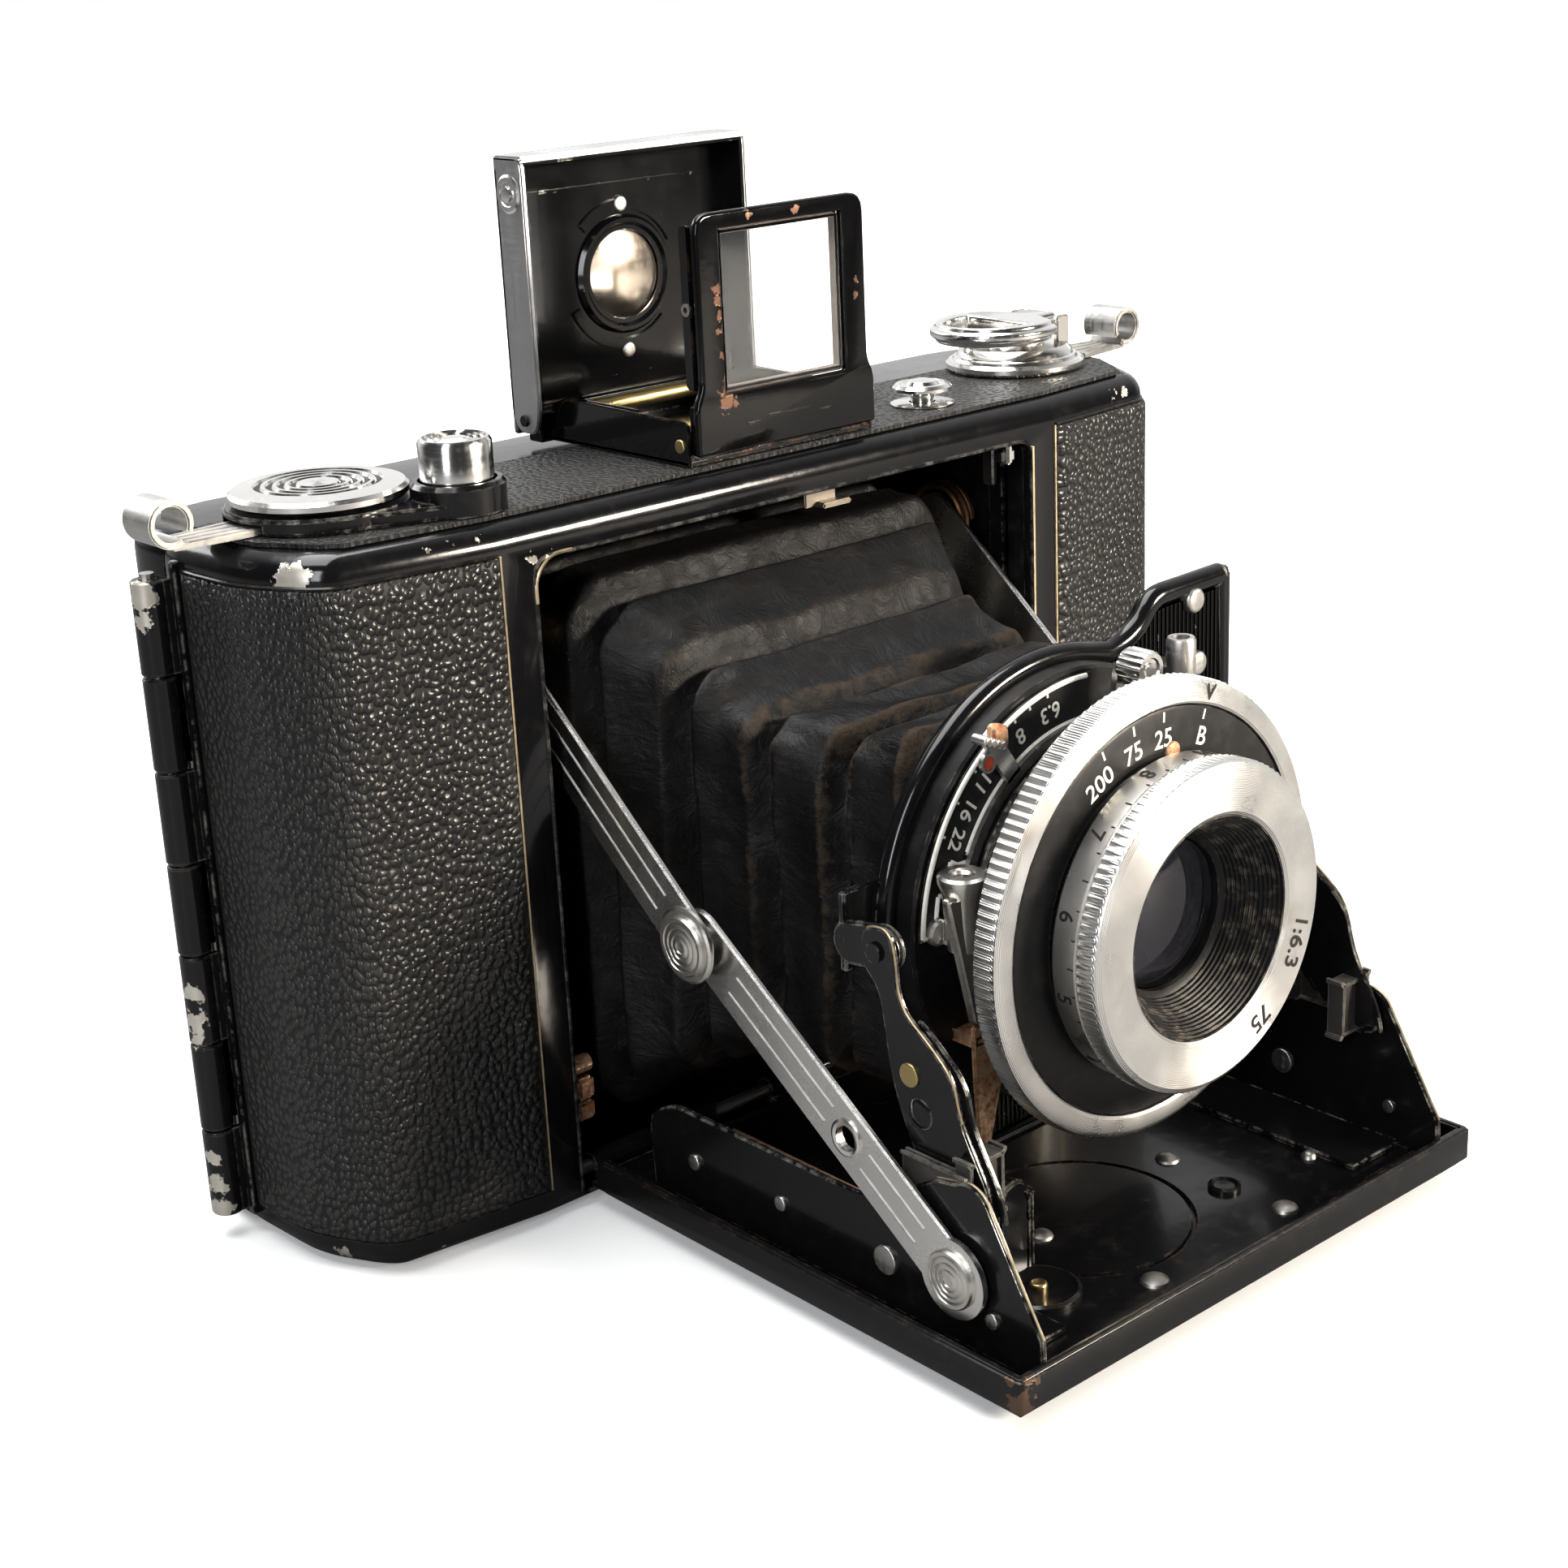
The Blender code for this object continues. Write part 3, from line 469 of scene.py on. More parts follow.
class Paint(Nodes):
    """A node material on one Principled shader, with short names for the nodes it uses most."""

    def __init__(self, name, colour, roughness, metallic=0.0, **more):
        self.made = bpy.data.materials.new(name)
        self.made.use_nodes = True
        LOOKS[name] = self.made
        super().__init__(self.made.node_tree)
        self.shader = self.nodes["Principled BSDF"]
        self.set("Base Color", (*colour, 1.0))
        self.set("Roughness", roughness)
        self.set("Metallic", metallic)
        for key, value in more.items():
            self.set(key.replace("_", " ").title().replace("Ior", "IOR"), value)
        self.place = self.nodes.new("ShaderNodeTexCoord").outputs["Object"]

    def set(self, name, value):
        self.feed(self.shader.inputs[name], value)

    def stretched(self, scale):
        return self.node("Mapping", {"Vector": self.place, "Scale": scale}).outputs["Vector"]

    def noise(self, size, detail=4.0, rough=0.55, place=None, distortion=0.0):
        """Noise whose lumps are about this many millimetres across, from 0 to 1."""
        inputs = {
            "Vector": place or self.place, "Scale": 1 / (size * MM), "Detail": detail,
            "Roughness": rough, "Distortion": distortion,
        }
        return self.node("TexNoise", inputs).outputs["Fac"]

    def cells(self, size, place=None, flat=False, uneven=1.0):
        """Distance to the nearest of many scattered centres, in space or in the plane of place."""
        inputs = {"Vector": place or self.place, "Scale": 1 / (size * MM), "Randomness": uneven}
        made = self.node("TexVoronoi", inputs, voronoi_dimensions="2D" if flat else "3D")
        return made.outputs["Distance"]

    def wrapped(self):
        """Flat coordinates that follow an upright skin round the ends of the body."""
        parts = self.node("SeparateXYZ", {"Vector": self.place}).outputs
        side = self.maths("SIGN", parts["X"])
        along = self.plus(parts["X"], self.times(parts["Y"], side))
        return self.node("CombineXYZ", {"X": along, "Y": parts["Z"]}).outputs["Vector"]

    def span(self, value, low, high, to_low=0.0, to_high=1.0):
        inputs = {"Value": value, "From Min": low, "From Max": high, "To Min": to_low, "To Max": to_high}
        return self.node("MapRange", inputs).outputs["Result"]

    def mix(self, share, first, second, kind="RGBA"):
        """From the first colour to the second as the share goes to 1, or between numbers with kind FLOAT."""
        made = self.node("Mix", data_type=kind)
        self.feed(made.inputs["Factor"], share)
        socket_type = "RGBA" if kind == "RGBA" else "VALUE"
        for key, value in (("A", first), ("B", second)):
            socket = next(i for i in made.inputs if i.name == key and i.type == socket_type)
            self.feed(socket, (*value, 1.0) if isinstance(value, tuple) else value)
        return next(o for o in made.outputs if o.type == socket_type)

    def bump(self, height, depth, normal=None):
        """Relief this many millimetres deep."""
        inputs = {"Height": height, "Distance": depth * MM, "Strength": 1.0}
        if normal:
            inputs["Normal"] = normal
        return self.node("Bump", inputs).outputs["Normal"]

    def edges(self, radius, slack=0.03, full=0.2):
        """1 along convex and concave edges within this many millimetres, 0 on flats."""
        soft = self.node("Bevel", {"Radius": radius * MM}, samples=4).outputs["Normal"]
        hard = self.node("NewGeometry").outputs["Normal"]
        dot = self.node("VectorMath", {0: soft, 1: hard}, operation="DOT_PRODUCT").outputs["Value"]
        return self.span(dot, 1 - slack, 1 - full)

    def spots(self, places):
        """1 inside ragged spots given as (x, y, z, radius) in millimetres."""
        fray = 3.6
        ragged = self.times(self.maths("SUBTRACT", self.noise(1.1, 3.0), 0.5), fray)
        found = 0.0
        for x, y, z, radius in places:
            centre = (x * MM, y * MM, z * MM)
            away = self.node("VectorMath", {0: self.place, 1: centre}, operation="DISTANCE")
            depth = self.times(away.outputs["Value"], 1 / MM)
            depth = self.maths("SUBTRACT", self.plus(depth, ragged), radius)
            spot = self.span(depth, 0.12, -0.12)
            found = self.most(found, spot)
        return found


def enamel(name, bare=(0.62, 0.56, 0.45), wear=0.5, chips=(), chip_colour=(0.8, 0.79, 0.76),
           roughness=0.13, colour=(0.0065, 0.0065, 0.0075), dust=0.35):
    """Black stove enamel: orange peel, wipe marks, dust, edges worn to bare metal and ragged chips."""
    paint = Paint(name, colour, roughness, coat_weight=0.15, coat_roughness=0.06, specular_ior_level=0.4)
    scuffs = paint.noise(9.0, 6.0, 0.7)
    fine = paint.noise(0.9, 3.0)
    worn = paint.times(paint.edges(0.35), paint.span(paint.noise(2.2, 5.0, 0.7), 0.62 - 0.25 * wear, 0.72))
    if chips:
        worn = paint.most(worn, paint.spots(chips))
    dusty = paint.times(paint.span(paint.noise(3.0, 8.0, 0.75), 0.52, 0.78), dust)
    base = paint.mix(dusty, colour, (0.035, 0.031, 0.027))
    metal = paint.mix(paint.noise(1.6), bare, chip_colour)
    paint.set("Base Color", paint.mix(worn, base, metal))
    paint.set("Metallic", paint.times(worn, 0.85))
    rough = paint.plus(paint.span(scuffs, 0.35, 0.75, roughness, roughness + 0.08),
                       paint.times(dusty, 0.2))
    paint.set("Roughness", paint.mix(worn, rough, 0.38, "FLOAT"))
    peel = paint.bump(paint.noise(1.7, 2.0), 0.012)
    peel = paint.bump(fine, 0.004, peel)
    paint.set("Normal", paint.bump(worn, -0.05, peel))


def leather(name, grain=1.0, depth=0.26, shine=0.3, upright=True):
    """Black pebbled leathercloth: round pebbles joined by wavy creases, worn shiny on top, with the tops
    painted lighter and the creases darker: partly rubbed wear, partly painted highlight and painted shade.
    """
    paint = Paint(name, (0.012, 0.012, 0.012), 0.5, specular_ior_level=0.6)
    sheet = paint.wrapped() if upright else paint.place
    wander = paint.node("TexNoise", {"Vector": sheet, "Scale": 1 / (2.0 * MM), "Detail": 2.0})
    swayed = paint.node("VectorMath", {0: wander.outputs["Color"], 1: (0.5, 0.5, 0.5)},
                        operation="SUBTRACT")
    swayed = paint.node("VectorMath", {0: swayed.outputs["Vector"], "Scale": 1.0 * MM}, operation="SCALE")
    place = paint.node("VectorMath", {0: sheet, 1: swayed.outputs["Vector"]}, operation="ADD")
    pebbles = paint.cells(grain, place.outputs["Vector"], flat=True, uneven=0.8)
    tops = paint.maths("SUBTRACT", 1.0, paint.maths("POWER", paint.span(pebbles, 0.0, 0.66), 2.0))
    patchy = paint.noise(14.0, 3.0)
    # Base colour is darker in the valleys between pebbles and lighter on their tops: partly rubbed wear,
    # partly painted shade in the creases and painted highlight on the tops.
    worn = paint.times(tops, paint.span(patchy, 0.3, 0.7, 0.6, 1.0))
    paint.set("Base Color", paint.mix(worn, (0.0045, 0.0045, 0.005), (0.031, 0.030, 0.028)))
    paint.set("Roughness", paint.plus(paint.span(tops, 0.1, 0.9, shine + 0.28, shine),
                                      paint.span(patchy, 0.3, 0.7, -0.06, 0.08)))
    fine = paint.bump(paint.noise(0.35, 3.0), 0.02)
    paint.set("Normal", paint.bump(tops, depth, fine))


def metal(name, colour, roughness, scratch=0.5, tarnish=0.3, stain=(0.3, 0.22, 0.13)):
    """Plated or bare metal with hairline scratches, cloudy patches and stains in its corners."""
    paint = Paint(name, colour, roughness, 1.0)
    hair = paint.noise(0.5, 2.0, 0.5, paint.stretched((1.0, 1.0, 0.06)))
    cross = paint.noise(0.4, 2.0, 0.5, paint.stretched((0.05, 0.08, 1.0)))
    hair = paint.times(hair, cross)
    fingers = paint.span(paint.noise(12.0, 4.0, 0.6), 0.45, 0.7)
    cloud = paint.noise(5.0, 5.0, 0.65)
    pits = paint.span(paint.cells(1.4), 0.1, 0.02)
    corners = paint.times(paint.edges(0.6, 0.02, 0.12), paint.span(paint.noise(1.8, 4.0), 0.5, 0.7))
    dirty = paint.times(paint.most(corners, paint.span(cloud, 0.62, 0.8)), tarnish)
    dirty = paint.most(dirty, paint.times(pits, tarnish))
    paint.set("Base Color", paint.mix(dirty, colour, stain))
    marks = paint.plus(paint.span(hair, 0.2, 0.4, 0.0, 0.2 * scratch), paint.times(fingers, 0.05))
    paint.set("Roughness", paint.plus(paint.span(cloud, 0.3, 0.8, roughness, roughness + 0.1), marks))
    paint.set("Normal", paint.bump(hair, 0.0025 * scratch))


def turned_aluminium(name, colour, rings=0.16, depth=0.012):
    """Satin aluminium with the fine circles left by the lathe, about the lens axis."""
    paint = Paint(name, colour, 0.3, 1.0)
    parts = paint.node("SeparateXYZ", {"Vector": paint.place})
    up = paint.maths("SUBTRACT", parts.outputs["Z"], LENS_Z * MM)
    away = paint.maths("SQRT", paint.plus(paint.times(parts.outputs["X"], parts.outputs["X"]),
                                          paint.times(up, up)))
    lines = paint.maths("SINE", paint.times(away, 2 * math.pi / (rings * MM)))
    cloud = paint.noise(6.0, 5.0, 0.6)
    grime = paint.times(paint.edges(0.3, 0.04, 0.25), paint.span(cloud, 0.4, 0.7))
    stain = paint.most(paint.times(grime, 0.8),
                       paint.times(paint.span(paint.noise(7.0, 3.0), 0.55, 0.8), 0.35))
    paint.set("Base Color", paint.mix(stain, colour, (0.48, 0.39, 0.31)))
    paint.set("Roughness", paint.span(cloud, 0.3, 0.7, 0.24, 0.4))
    paint.set("Normal", paint.bump(lines, depth))


def bellows_cloth():
    """Black leathercloth, dusty brown and threadbare along its folds."""
    paint = Paint("bellows_cloth", (0.01, 0.01, 0.01), 0.6, specular_ior_level=0.28)
    fold = paint.node("Attribute", attribute_name="fold").outputs["Fac"]
    frayed = paint.plus(fold, paint.span(paint.noise(1.6, 6.0, 0.75), 0.3, 0.75, -0.6, 0.45))
    worn = paint.span(frayed, 0.35, 0.85)
    scuff = paint.span(paint.noise(3.5, 7.0, 0.72, paint.stretched((0.35, 1.0, 1.0))), 0.5, 0.75)
    forward = paint.node("SeparateXYZ", {"Vector": paint.place}).outputs["Y"]
    forward = paint.span(forward, ahead(4) * MM, ahead(20) * MM, 0.4, 0.95)
    dust = paint.most(paint.times(worn, forward), paint.times(scuff, 0.22))
    brown = paint.mix(paint.noise(0.7, 3.0), (0.030, 0.021, 0.014), (0.082, 0.058, 0.038))
    paint.set("Base Color", paint.mix(dust, (0.006, 0.006, 0.0065), brown))
    paint.set("Roughness", paint.mix(dust, 0.44, 0.85, "FLOAT"))
    weave = paint.bump(paint.noise(0.5, 4.0, 0.6), 0.05)
    creases = paint.bump(paint.noise(3.2, 6.0, 0.66, paint.stretched((1.0, 0.5, 1.0)), 1.2), 0.42, weave)
    paint.set("Normal", creases)


def glass(name, tint_and_shade, smear=0.06):
    """Clear or tinted glass with faint smears; on the lens glass a dark tint paints the shade behind it."""
    paint = Paint(name, tint_and_shade, 0.0, transmission_weight=1.0, ior=1.5)
    paint.set("Roughness", paint.span(paint.noise(6.0, 6.0, 0.7), 0.5, 0.8, 0.0, smear))


def flat_paint(name, colour, roughness):
    """Engraver's filling paint: slightly uneven and grubby."""
    paint = Paint(name, colour, roughness)
    grub = paint.span(paint.noise(1.2, 4.0), 0.45, 0.8)
    paint.set("Base Color", paint.mix(paint.times(grub, 0.45), colour, tuple(c * 0.55 for c in colour)))
    paint.set("Normal", paint.bump(paint.noise(0.4, 2.0), 0.01))


def anodised(name, colour=(0.010, 0.0095, 0.010), roughness=0.4):
    """Dull black on metal, paler where it is cloudy and bare along its edges."""
    paint = Paint(name, colour, roughness, specular_ior_level=0.35)
    cloud = paint.noise(4.0, 6.0, 0.7)
    worn = paint.times(paint.edges(0.25), paint.span(paint.noise(1.4, 4.0), 0.5, 0.65))
    paint.set("Base Color", paint.mix(worn, paint.mix(paint.span(cloud, 0.5, 0.8), colour,
                                                      (0.035, 0.033, 0.032)), (0.35, 0.3, 0.24)))
    paint.set("Roughness", paint.span(cloud, 0.3, 0.7, roughness - 0.06, roughness + 0.14))
    paint.set("Normal", paint.bump(paint.noise(0.5, 3.0), 0.01))


def rusty(name):
    """Bright orange-brown rust over old plating."""
    paint = Paint(name, (0.3, 0.14, 0.06), 0.6)
    patch = paint.span(paint.noise(1.3, 6.0, 0.7), 0.42, 0.62)
    paint.set("Base Color", paint.mix(patch, (0.72, 0.5, 0.33), (0.3, 0.12, 0.05)))
    paint.set("Metallic", paint.span(patch, 0.0, 1.0, 0.6, 0.1))
    paint.set("Roughness", paint.span(patch, 0.0, 1.0, 0.35, 0.75))
    paint.set("Normal", paint.bump(paint.noise(0.5, 5.0), 0.08))


def wooden(name):
    """Turned wood with its grain upright."""
    paint = Paint(name, (0.2, 0.12, 0.06), 0.5)
    rings = paint.noise(1.5, 4.0, 0.6, paint.stretched((1.0, 1.0, 0.08)))
    paint.set("Base Color", paint.mix(rings, (0.1, 0.055, 0.025), (0.3, 0.19, 0.1)))
    paint.set("Normal", paint.bump(rings, 0.05))


FINDER_CHIPS = [(x, ahead(-1.5), z, radius) for x, z, radius in (
    (-9.9, 104.8, 0.8), (-9.9, 103.2, 0.7), (-9.8, 101.9, 0.65), (-9.6, 100.2, 0.45), (-9.5, 97.2, 0.4),
    (-9.5, 94.6, 0.5), (-9.6, 92.9, 0.7), (-9.5, 91.6, 0.95), (-8.2, 91.5, 0.5), (-5.2, 112.6, 0.4),
    (2.6, 112.4, 0.5), (11.2, 103.6, 0.3), (10.9, 101.0, 0.35), (12.0, 96.0, 0.2),
)]
BODY_CHIPS = [
    (-66.2, FRONT + 5.4, 81.6, 1.9), (-66.6, FRONT + 6.6, 81.0, 1.2), (-67.5, FRONT + 8.5, 1.6, 1.0),
    (57.4, FRONT + 1.2, 82.4, 0.75), (59.5, FRONT + 1.5, 82.5, 0.55), (-39.6, FRONT + 0.4, 79.2, 0.7),
    (-37.8, FRONT + 0.4, 79.5, 0.6), (-52.0, FRONT + 1.0, 83.0, 0.35), (-50.0, FRONT + 0.8, 83.1, 0.3),
    (-46.0, FRONT + 0.6, 83.2, 0.35), (-58.0, FRONT + 1.8, 1.2, 0.35),
]
RIM_CHIPS = [(-38.2, ahead(70.3), 3.2, 1.7), (-36.8, ahead(70.6), 5.8, 0.7), (-38.6, ahead(69.0), 5.6, 0.6)]
HINGE_CHIPS = [
    (-74.3, 4.6, 78.6, 1.8), (-74.2, 4.6, 75.4, 1.0), (-74.3, 4.8, 31.5, 1.2), (-74.3, 4.8, 28.0, 1.4),
    (-74.3, 4.8, 25.4, 1.0), (-74.2, 4.8, 10.6, 0.9), (-74.2, 4.8, 7.2, 1.3), (-74.2, 4.8, 3.8, 1.5),
]
enamel("body_enamel", wear=0.7, chips=BODY_CHIPS)
enamel("hinge_enamel", wear=0.9, chips=HINGE_CHIPS)
enamel("enamel", wear=0.6)
enamel("finder_enamel", wear=0.5, chips=FINDER_CHIPS, bare=(0.13, 0.075, 0.05), roughness=0.08,
       chip_colour=(0.17, 0.1, 0.068), colour=(0.004, 0.004, 0.0045), dust=0.08)
enamel("liner_enamel", wear=0.0, roughness=0.14, dust=0.08, colour=(0.004, 0.004, 0.0045))
flat_paint("sill", (0.17, 0.13, 0.1), 0.5)
enamel("bed_enamel", wear=0.5, roughness=0.17, dust=0.65, bare=(0.22, 0.13, 0.08),
       chip_colour=(0.3, 0.22, 0.16))
enamel("rim_enamel", wear=0.55, roughness=0.2, colour=(0.008, 0.008, 0.0085), chips=RIM_CHIPS,
       bare=(0.17, 0.12, 0.09), chip_colour=(0.16, 0.1, 0.07))
metal("worn_line", (0.62, 0.52, 0.36), 0.35, tarnish=0.7, stain=(0.03, 0.025, 0.02))
leather("leather")
leather("fine_leather", grain=0.8, depth=0.2, shine=0.36, upright=False)
metal("chrome", (0.83, 0.82, 0.8), 0.1, scratch=0.5, tarnish=0.35)
metal("plate", (0.88, 0.87, 0.85), 0.2, scratch=0.12, tarnish=0.25, stain=(0.5, 0.48, 0.44))
metal("cap_nickel", (0.74, 0.72, 0.68), 0.26, scratch=0.2, tarnish=0.6, stain=(0.34, 0.3, 0.25))
metal("nickel", (0.55, 0.54, 0.52), 0.3, scratch=1.0, tarnish=0.5, stain=(0.28, 0.26, 0.23))
metal("satin", (0.5, 0.5, 0.5), 0.34, scratch=0.7, tarnish=0.35, stain=(0.7, 0.7, 0.7))
metal("copper", (0.72, 0.42, 0.24), 0.34, tarnish=0.4, stain=(0.25, 0.12, 0.06))
metal("brass", (0.5, 0.4, 0.2), 0.32, tarnish=0.6, stain=(0.16, 0.12, 0.06))
metal("steel", (0.45, 0.44, 0.42), 0.35, tarnish=0.5)
turned_aluminium("aluminium", (0.79, 0.78, 0.76))
anodised("black")
anodised("deep_black", (0.004, 0.004, 0.0045), 0.5)
bellows_cloth()
flat_paint("white", (0.82, 0.8, 0.74), 0.5)
# Black filling paint for print, also used as painted shade in the film knob's grooves.
flat_paint("black_fill_and_groove_shade", (0.02, 0.016, 0.014), 0.5)
flat_paint("red_fill", (0.62, 0.09, 0.03), 0.45)
rusty("rust")
wooden("wood")
glass("glass", (0.98, 0.99, 1.0), 0.02)
# The lens glass is tinted dark to paint in the shade inside the camera behind it.
glass("shade_darkened_lens_glass", (0.13, 0.13, 0.16), 0.0)
# The eyepiece lens is an opaque, bright warm metal: a painted sheen in place of glass.
metal("eyepiece_painted_sheen", (0.95, 0.83, 0.7), 0.16, scratch=0.2, tarnish=0.25)
glass("red_glass", (0.7, 0.03, 0.02))
metal("iris", (0.014, 0.014, 0.017), 0.4, tarnish=0.2, stain=(0.03, 0.022, 0.016))
metal("dull_nickel", (0.3, 0.27, 0.23), 0.36, scratch=1.0, tarnish=0.6)
enamel("worn_clip", colour=(0.05, 0.047, 0.042), wear=1.0, roughness=0.45, bare=(0.3, 0.27, 0.22), dust=1.0)


def piece(obj, name, body, look, replaces=(), angle=32):
    """Names a finished shape or list of shapes, paints it, ties it to its body and hides the solid it
    stands for."""
    obj = joined(obj) if isinstance(obj, list) else obj
    obj.name = name
    obj.data.name = name
    obj.data.materials.clear()
    obj.data.materials.append(LOOKS[look])
    obj.data.shade_smooth()
    obj.data.set_sharp_from_angle(angle=math.radians(angle))
    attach(obj, body)
    if replaces:
        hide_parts(*replaces)
    return obj


def repaint(look, *nodes):
    """Gives CAD solids whose shape is right a better material."""
    for name in nodes:
        obj = frame["nodes"][name]
        for slot in obj.material_slots:
            slot.material = LOOKS[look]
        obj.data.set_sharp_from_angle(angle=math.radians(30))


# ---------------------------------------------------------------- body


def end_path(grow=0.0, back=2.6):
    """The right end of the body in plan, from the front face round to the side, grown outwards."""
    corners = END_CURVE + [(HALF_WIDTH, max(back - 3, FRONT + 15)), (HALF_WIDTH, back)]
    path = filleted(corners, [0, 4, 3, 5, 0, 0], steps=8, closed=False)
    grown = []
    for i, point in enumerate(path):
        before, after = path[max(i - 1, 0)], path[min(i + 1, len(path) - 1)]
        way = (Vector(after) - Vector(before)).normalized()
        grown.append((point[0] + way.y * grow, point[1] - way.x * grow))
    return grown


def body_outline(inset, back):
    right = end_path(-inset, back)
    return [(-x, y) for x, y in reversed(right)] + right


def opening_outline(grow=0.0):
    x, low, high = OPENING_HALF + grow, OPENING_LOW - grow, OPENING_HIGH + grow
    return filleted(rectangle(-x, x, low, high), [0.5, 0.5, 2.4, 2.4])


def make_body():
    """The front shell, its opening, the leather round both ends and the lugs of the bed hinge."""
    wall = 1.5
    shell = loft([(body_outline(i, BACK), z) for i, z in shoulders(2.9, 0, BODY_TOP)], "Z")
    cut(shell, prism(body_outline(wall, BACK + 5), "Z", wall, BODY_TOP - wall))
    cut(shell, prism(opening_outline(), "Y", FRONT - 5, FRONT + 5))
    for x, y, radius in ((55, -2.5, 2.4), (-55, -2.5, 2.4), (-43.5, -12.5, 1.8), (29, -11, 1.8)):
        cut(shell, disc(radius, 70, 95, 0.1, "Z", (x, y), 24))
    cut(shell, disc(6.2, 5, -5, 0.1, "Z", (-52, -4), 48))
    softened(shell, 0.22)
    piece(shell, "camera_shell", "root", "body_enamel", ["body_shell"], angle=28)

    lip = tube([(x, FRONT + 0.1, z) for x, z in opening_outline(0.1)], 0.28, closed=True)
    piece(lip, "opening_lip", "root", "body_enamel")
    bright = tube([(OPENING_HALF + 0.3, FRONT - 0.05, z) for z in (2.2, 40, 78.4)], 0.26, 6)
    corner = [(-OPENING_HALF + 5, OPENING_HIGH + 0.2), (-OPENING_HALF + 2, OPENING_HIGH + 0.2)]
    corner += [(-OPENING_HALF - 0.1, OPENING_HIGH - 2), (-OPENING_HALF - 0.1, OPENING_HIGH - 5)]
    corner = filleted(corner, [0, 1.5, 1.5, 0], closed=False)
    worn = tube([(x, FRONT - 0.05, z) for x, z in corner], 0.22, 6)
    piece([bright, worn], "opening_worn_edge", "root", "worn_line")

    for side, name in SIDES:
        inner, outer = end_path(0.1), end_path(0.72)
        panel = leather_panel(inner, outer, side)
        piece(panel, f"leather_panel_{name}", "root", "leather", [f"leather_{name}"])
        edge = tube([(side * (PANEL_EDGE - 0.25), FRONT - 0.04, z) for z in (3.9, 42, 80.5)], 0.2, 6)
        piece(edge, f"panel_border_{name}", "root", "worn_line")
        path = [(side * x, y) for x, y in end_path(0.05)]
        hems = [tube([(x, y, z) for x, y in path], 0.2, sides=6) for z in (3.8, 80.6)]
        piece(hems, f"panel_hem_{name}", "root", "rim_enamel")

    lugs = []
    for side in (-1, 1):
        x = layer(side, 18, 24)
        lug = disc(1.5, x[0], x[1], 0.2, "X", BED, 32)
        lugs.append(fuse(lug, block(x, (BED.y - 0.2, BED.y + 1.3), (1.2, BED.z), 0.1)))
    lugs = cut(joined(lugs), disc(0.95, -30, 30, 0.01, "X", BED, 24))
    piece(lugs, "bed_hinge_lugs", "root", "enamel")


def leather_panel(inner, outer, side):
    """A skin on the shell whose edges turn down to it, with a slow unevenness like glued cloth."""
    low, high = 4.0, 80.4
    rows = [(low, 0.0), (low + 0.15, 0.6), (low + 0.6, 1.0)]
    rows += [(low + 0.6 + (high - low - 1.2) * i / 60, 1.0) for i in range(1, 60)]
    rows += [(high - 0.6, 1.0), (high - 0.15, 0.6), (high, 0.0)]
    dense_inner, dense_outer = resampled(inner, 56), resampled(outer, 56)
    shape = bmesh.new()
    grid = []
    for z, rise in rows:
        line = []
        for i, (near, far) in enumerate(zip(dense_inner, dense_outer)):
            edge = min(i, len(dense_inner) - 1 - i)
            share = rise * min(1.0, 0.15 + edge * 0.6)
            swell = 0.9 + 0.1 * noise.noise(Vector((near[0] * 0.12, near[1] * 0.12, z * 0.12)))
            spot = Vector(near).lerp(Vector(far), share * swell)
            line.append(shape.verts.new((side * spot.x, spot.y, z)))
        grid.append(line)
    back = [[shape.verts.new((side * x, y, z)) for x, y in dense_inner] for z in (low, high)]
    pairs = list(zip(grid, grid[1:])) + [back, (back[0], grid[0]), (back[1], grid[-1])]
    for row, following in pairs:
        bridge(shape, row, following, closed=False)
    for column in (0, -1):
        shape.faces.new([line[column] for line in grid] + [back[1][column], back[0][column]])
    return object_from(shape)


def resampled(path, count):
    """The same path with evenly spaced points."""
    lengths = [0.0]
    for a, b in zip(path, path[1:]):
        lengths.append(lengths[-1] + (Vector(b) - Vector(a)).length)
    made = []
    for i in range(count):
        target = lengths[-1] * i / (count - 1)
        k = max(j for j in range(len(path) - 1) if lengths[j] <= target + 1e-9)
        share = (target - lengths[k]) / (lengths[k + 1] - lengths[k])
        made.append(tuple(Vector(path[k]).lerp(Vector(path[k + 1]), min(share, 1.0))))
    return made


def make_hinge():
    """Seven knuckles, shared by turns between the body and the back door."""
    knuckles, first, pitch, gap = 7, 3, 11.0, 0.3
    sides = {"root": [], "back": []}
    for i in range(knuckles):
        low, high = first + pitch * i, first + pitch * (i + 1) - gap
        body = "back" if i % 2 else "root"
        profile = [(0.95, low), (1.75, low), (1.9, low + 0.2), (1.9, high - 0.2), (1.75, high),
                   (0.95, high)]
        barrel = turned(profile, "Z", BACK_AXIS, 32)
        y = (6.2, 7.0) if body == "back" else (4.0, 4.8)
        leaf = block((BACK_AXIS.x + 1.0, -HALF_WIDTH + 0.6), y, (low, high), 0.08)
        sides[body] += [barrel, leaf]
    for body, parts in sides.items():
        piece(parts, f"hinge_knuckles_{body}", body, "hinge_enamel")
    strip = block((-HALF_WIDTH - 0.75, -HALF_WIDTH + 0.3), (2.9, 4.1), (2.4, 81.6), 0.15)
    piece(strip, "hinge_strip", "root", "enamel")
    repaint("steel", "back_hinge_pin", "bed_hinge_pin")


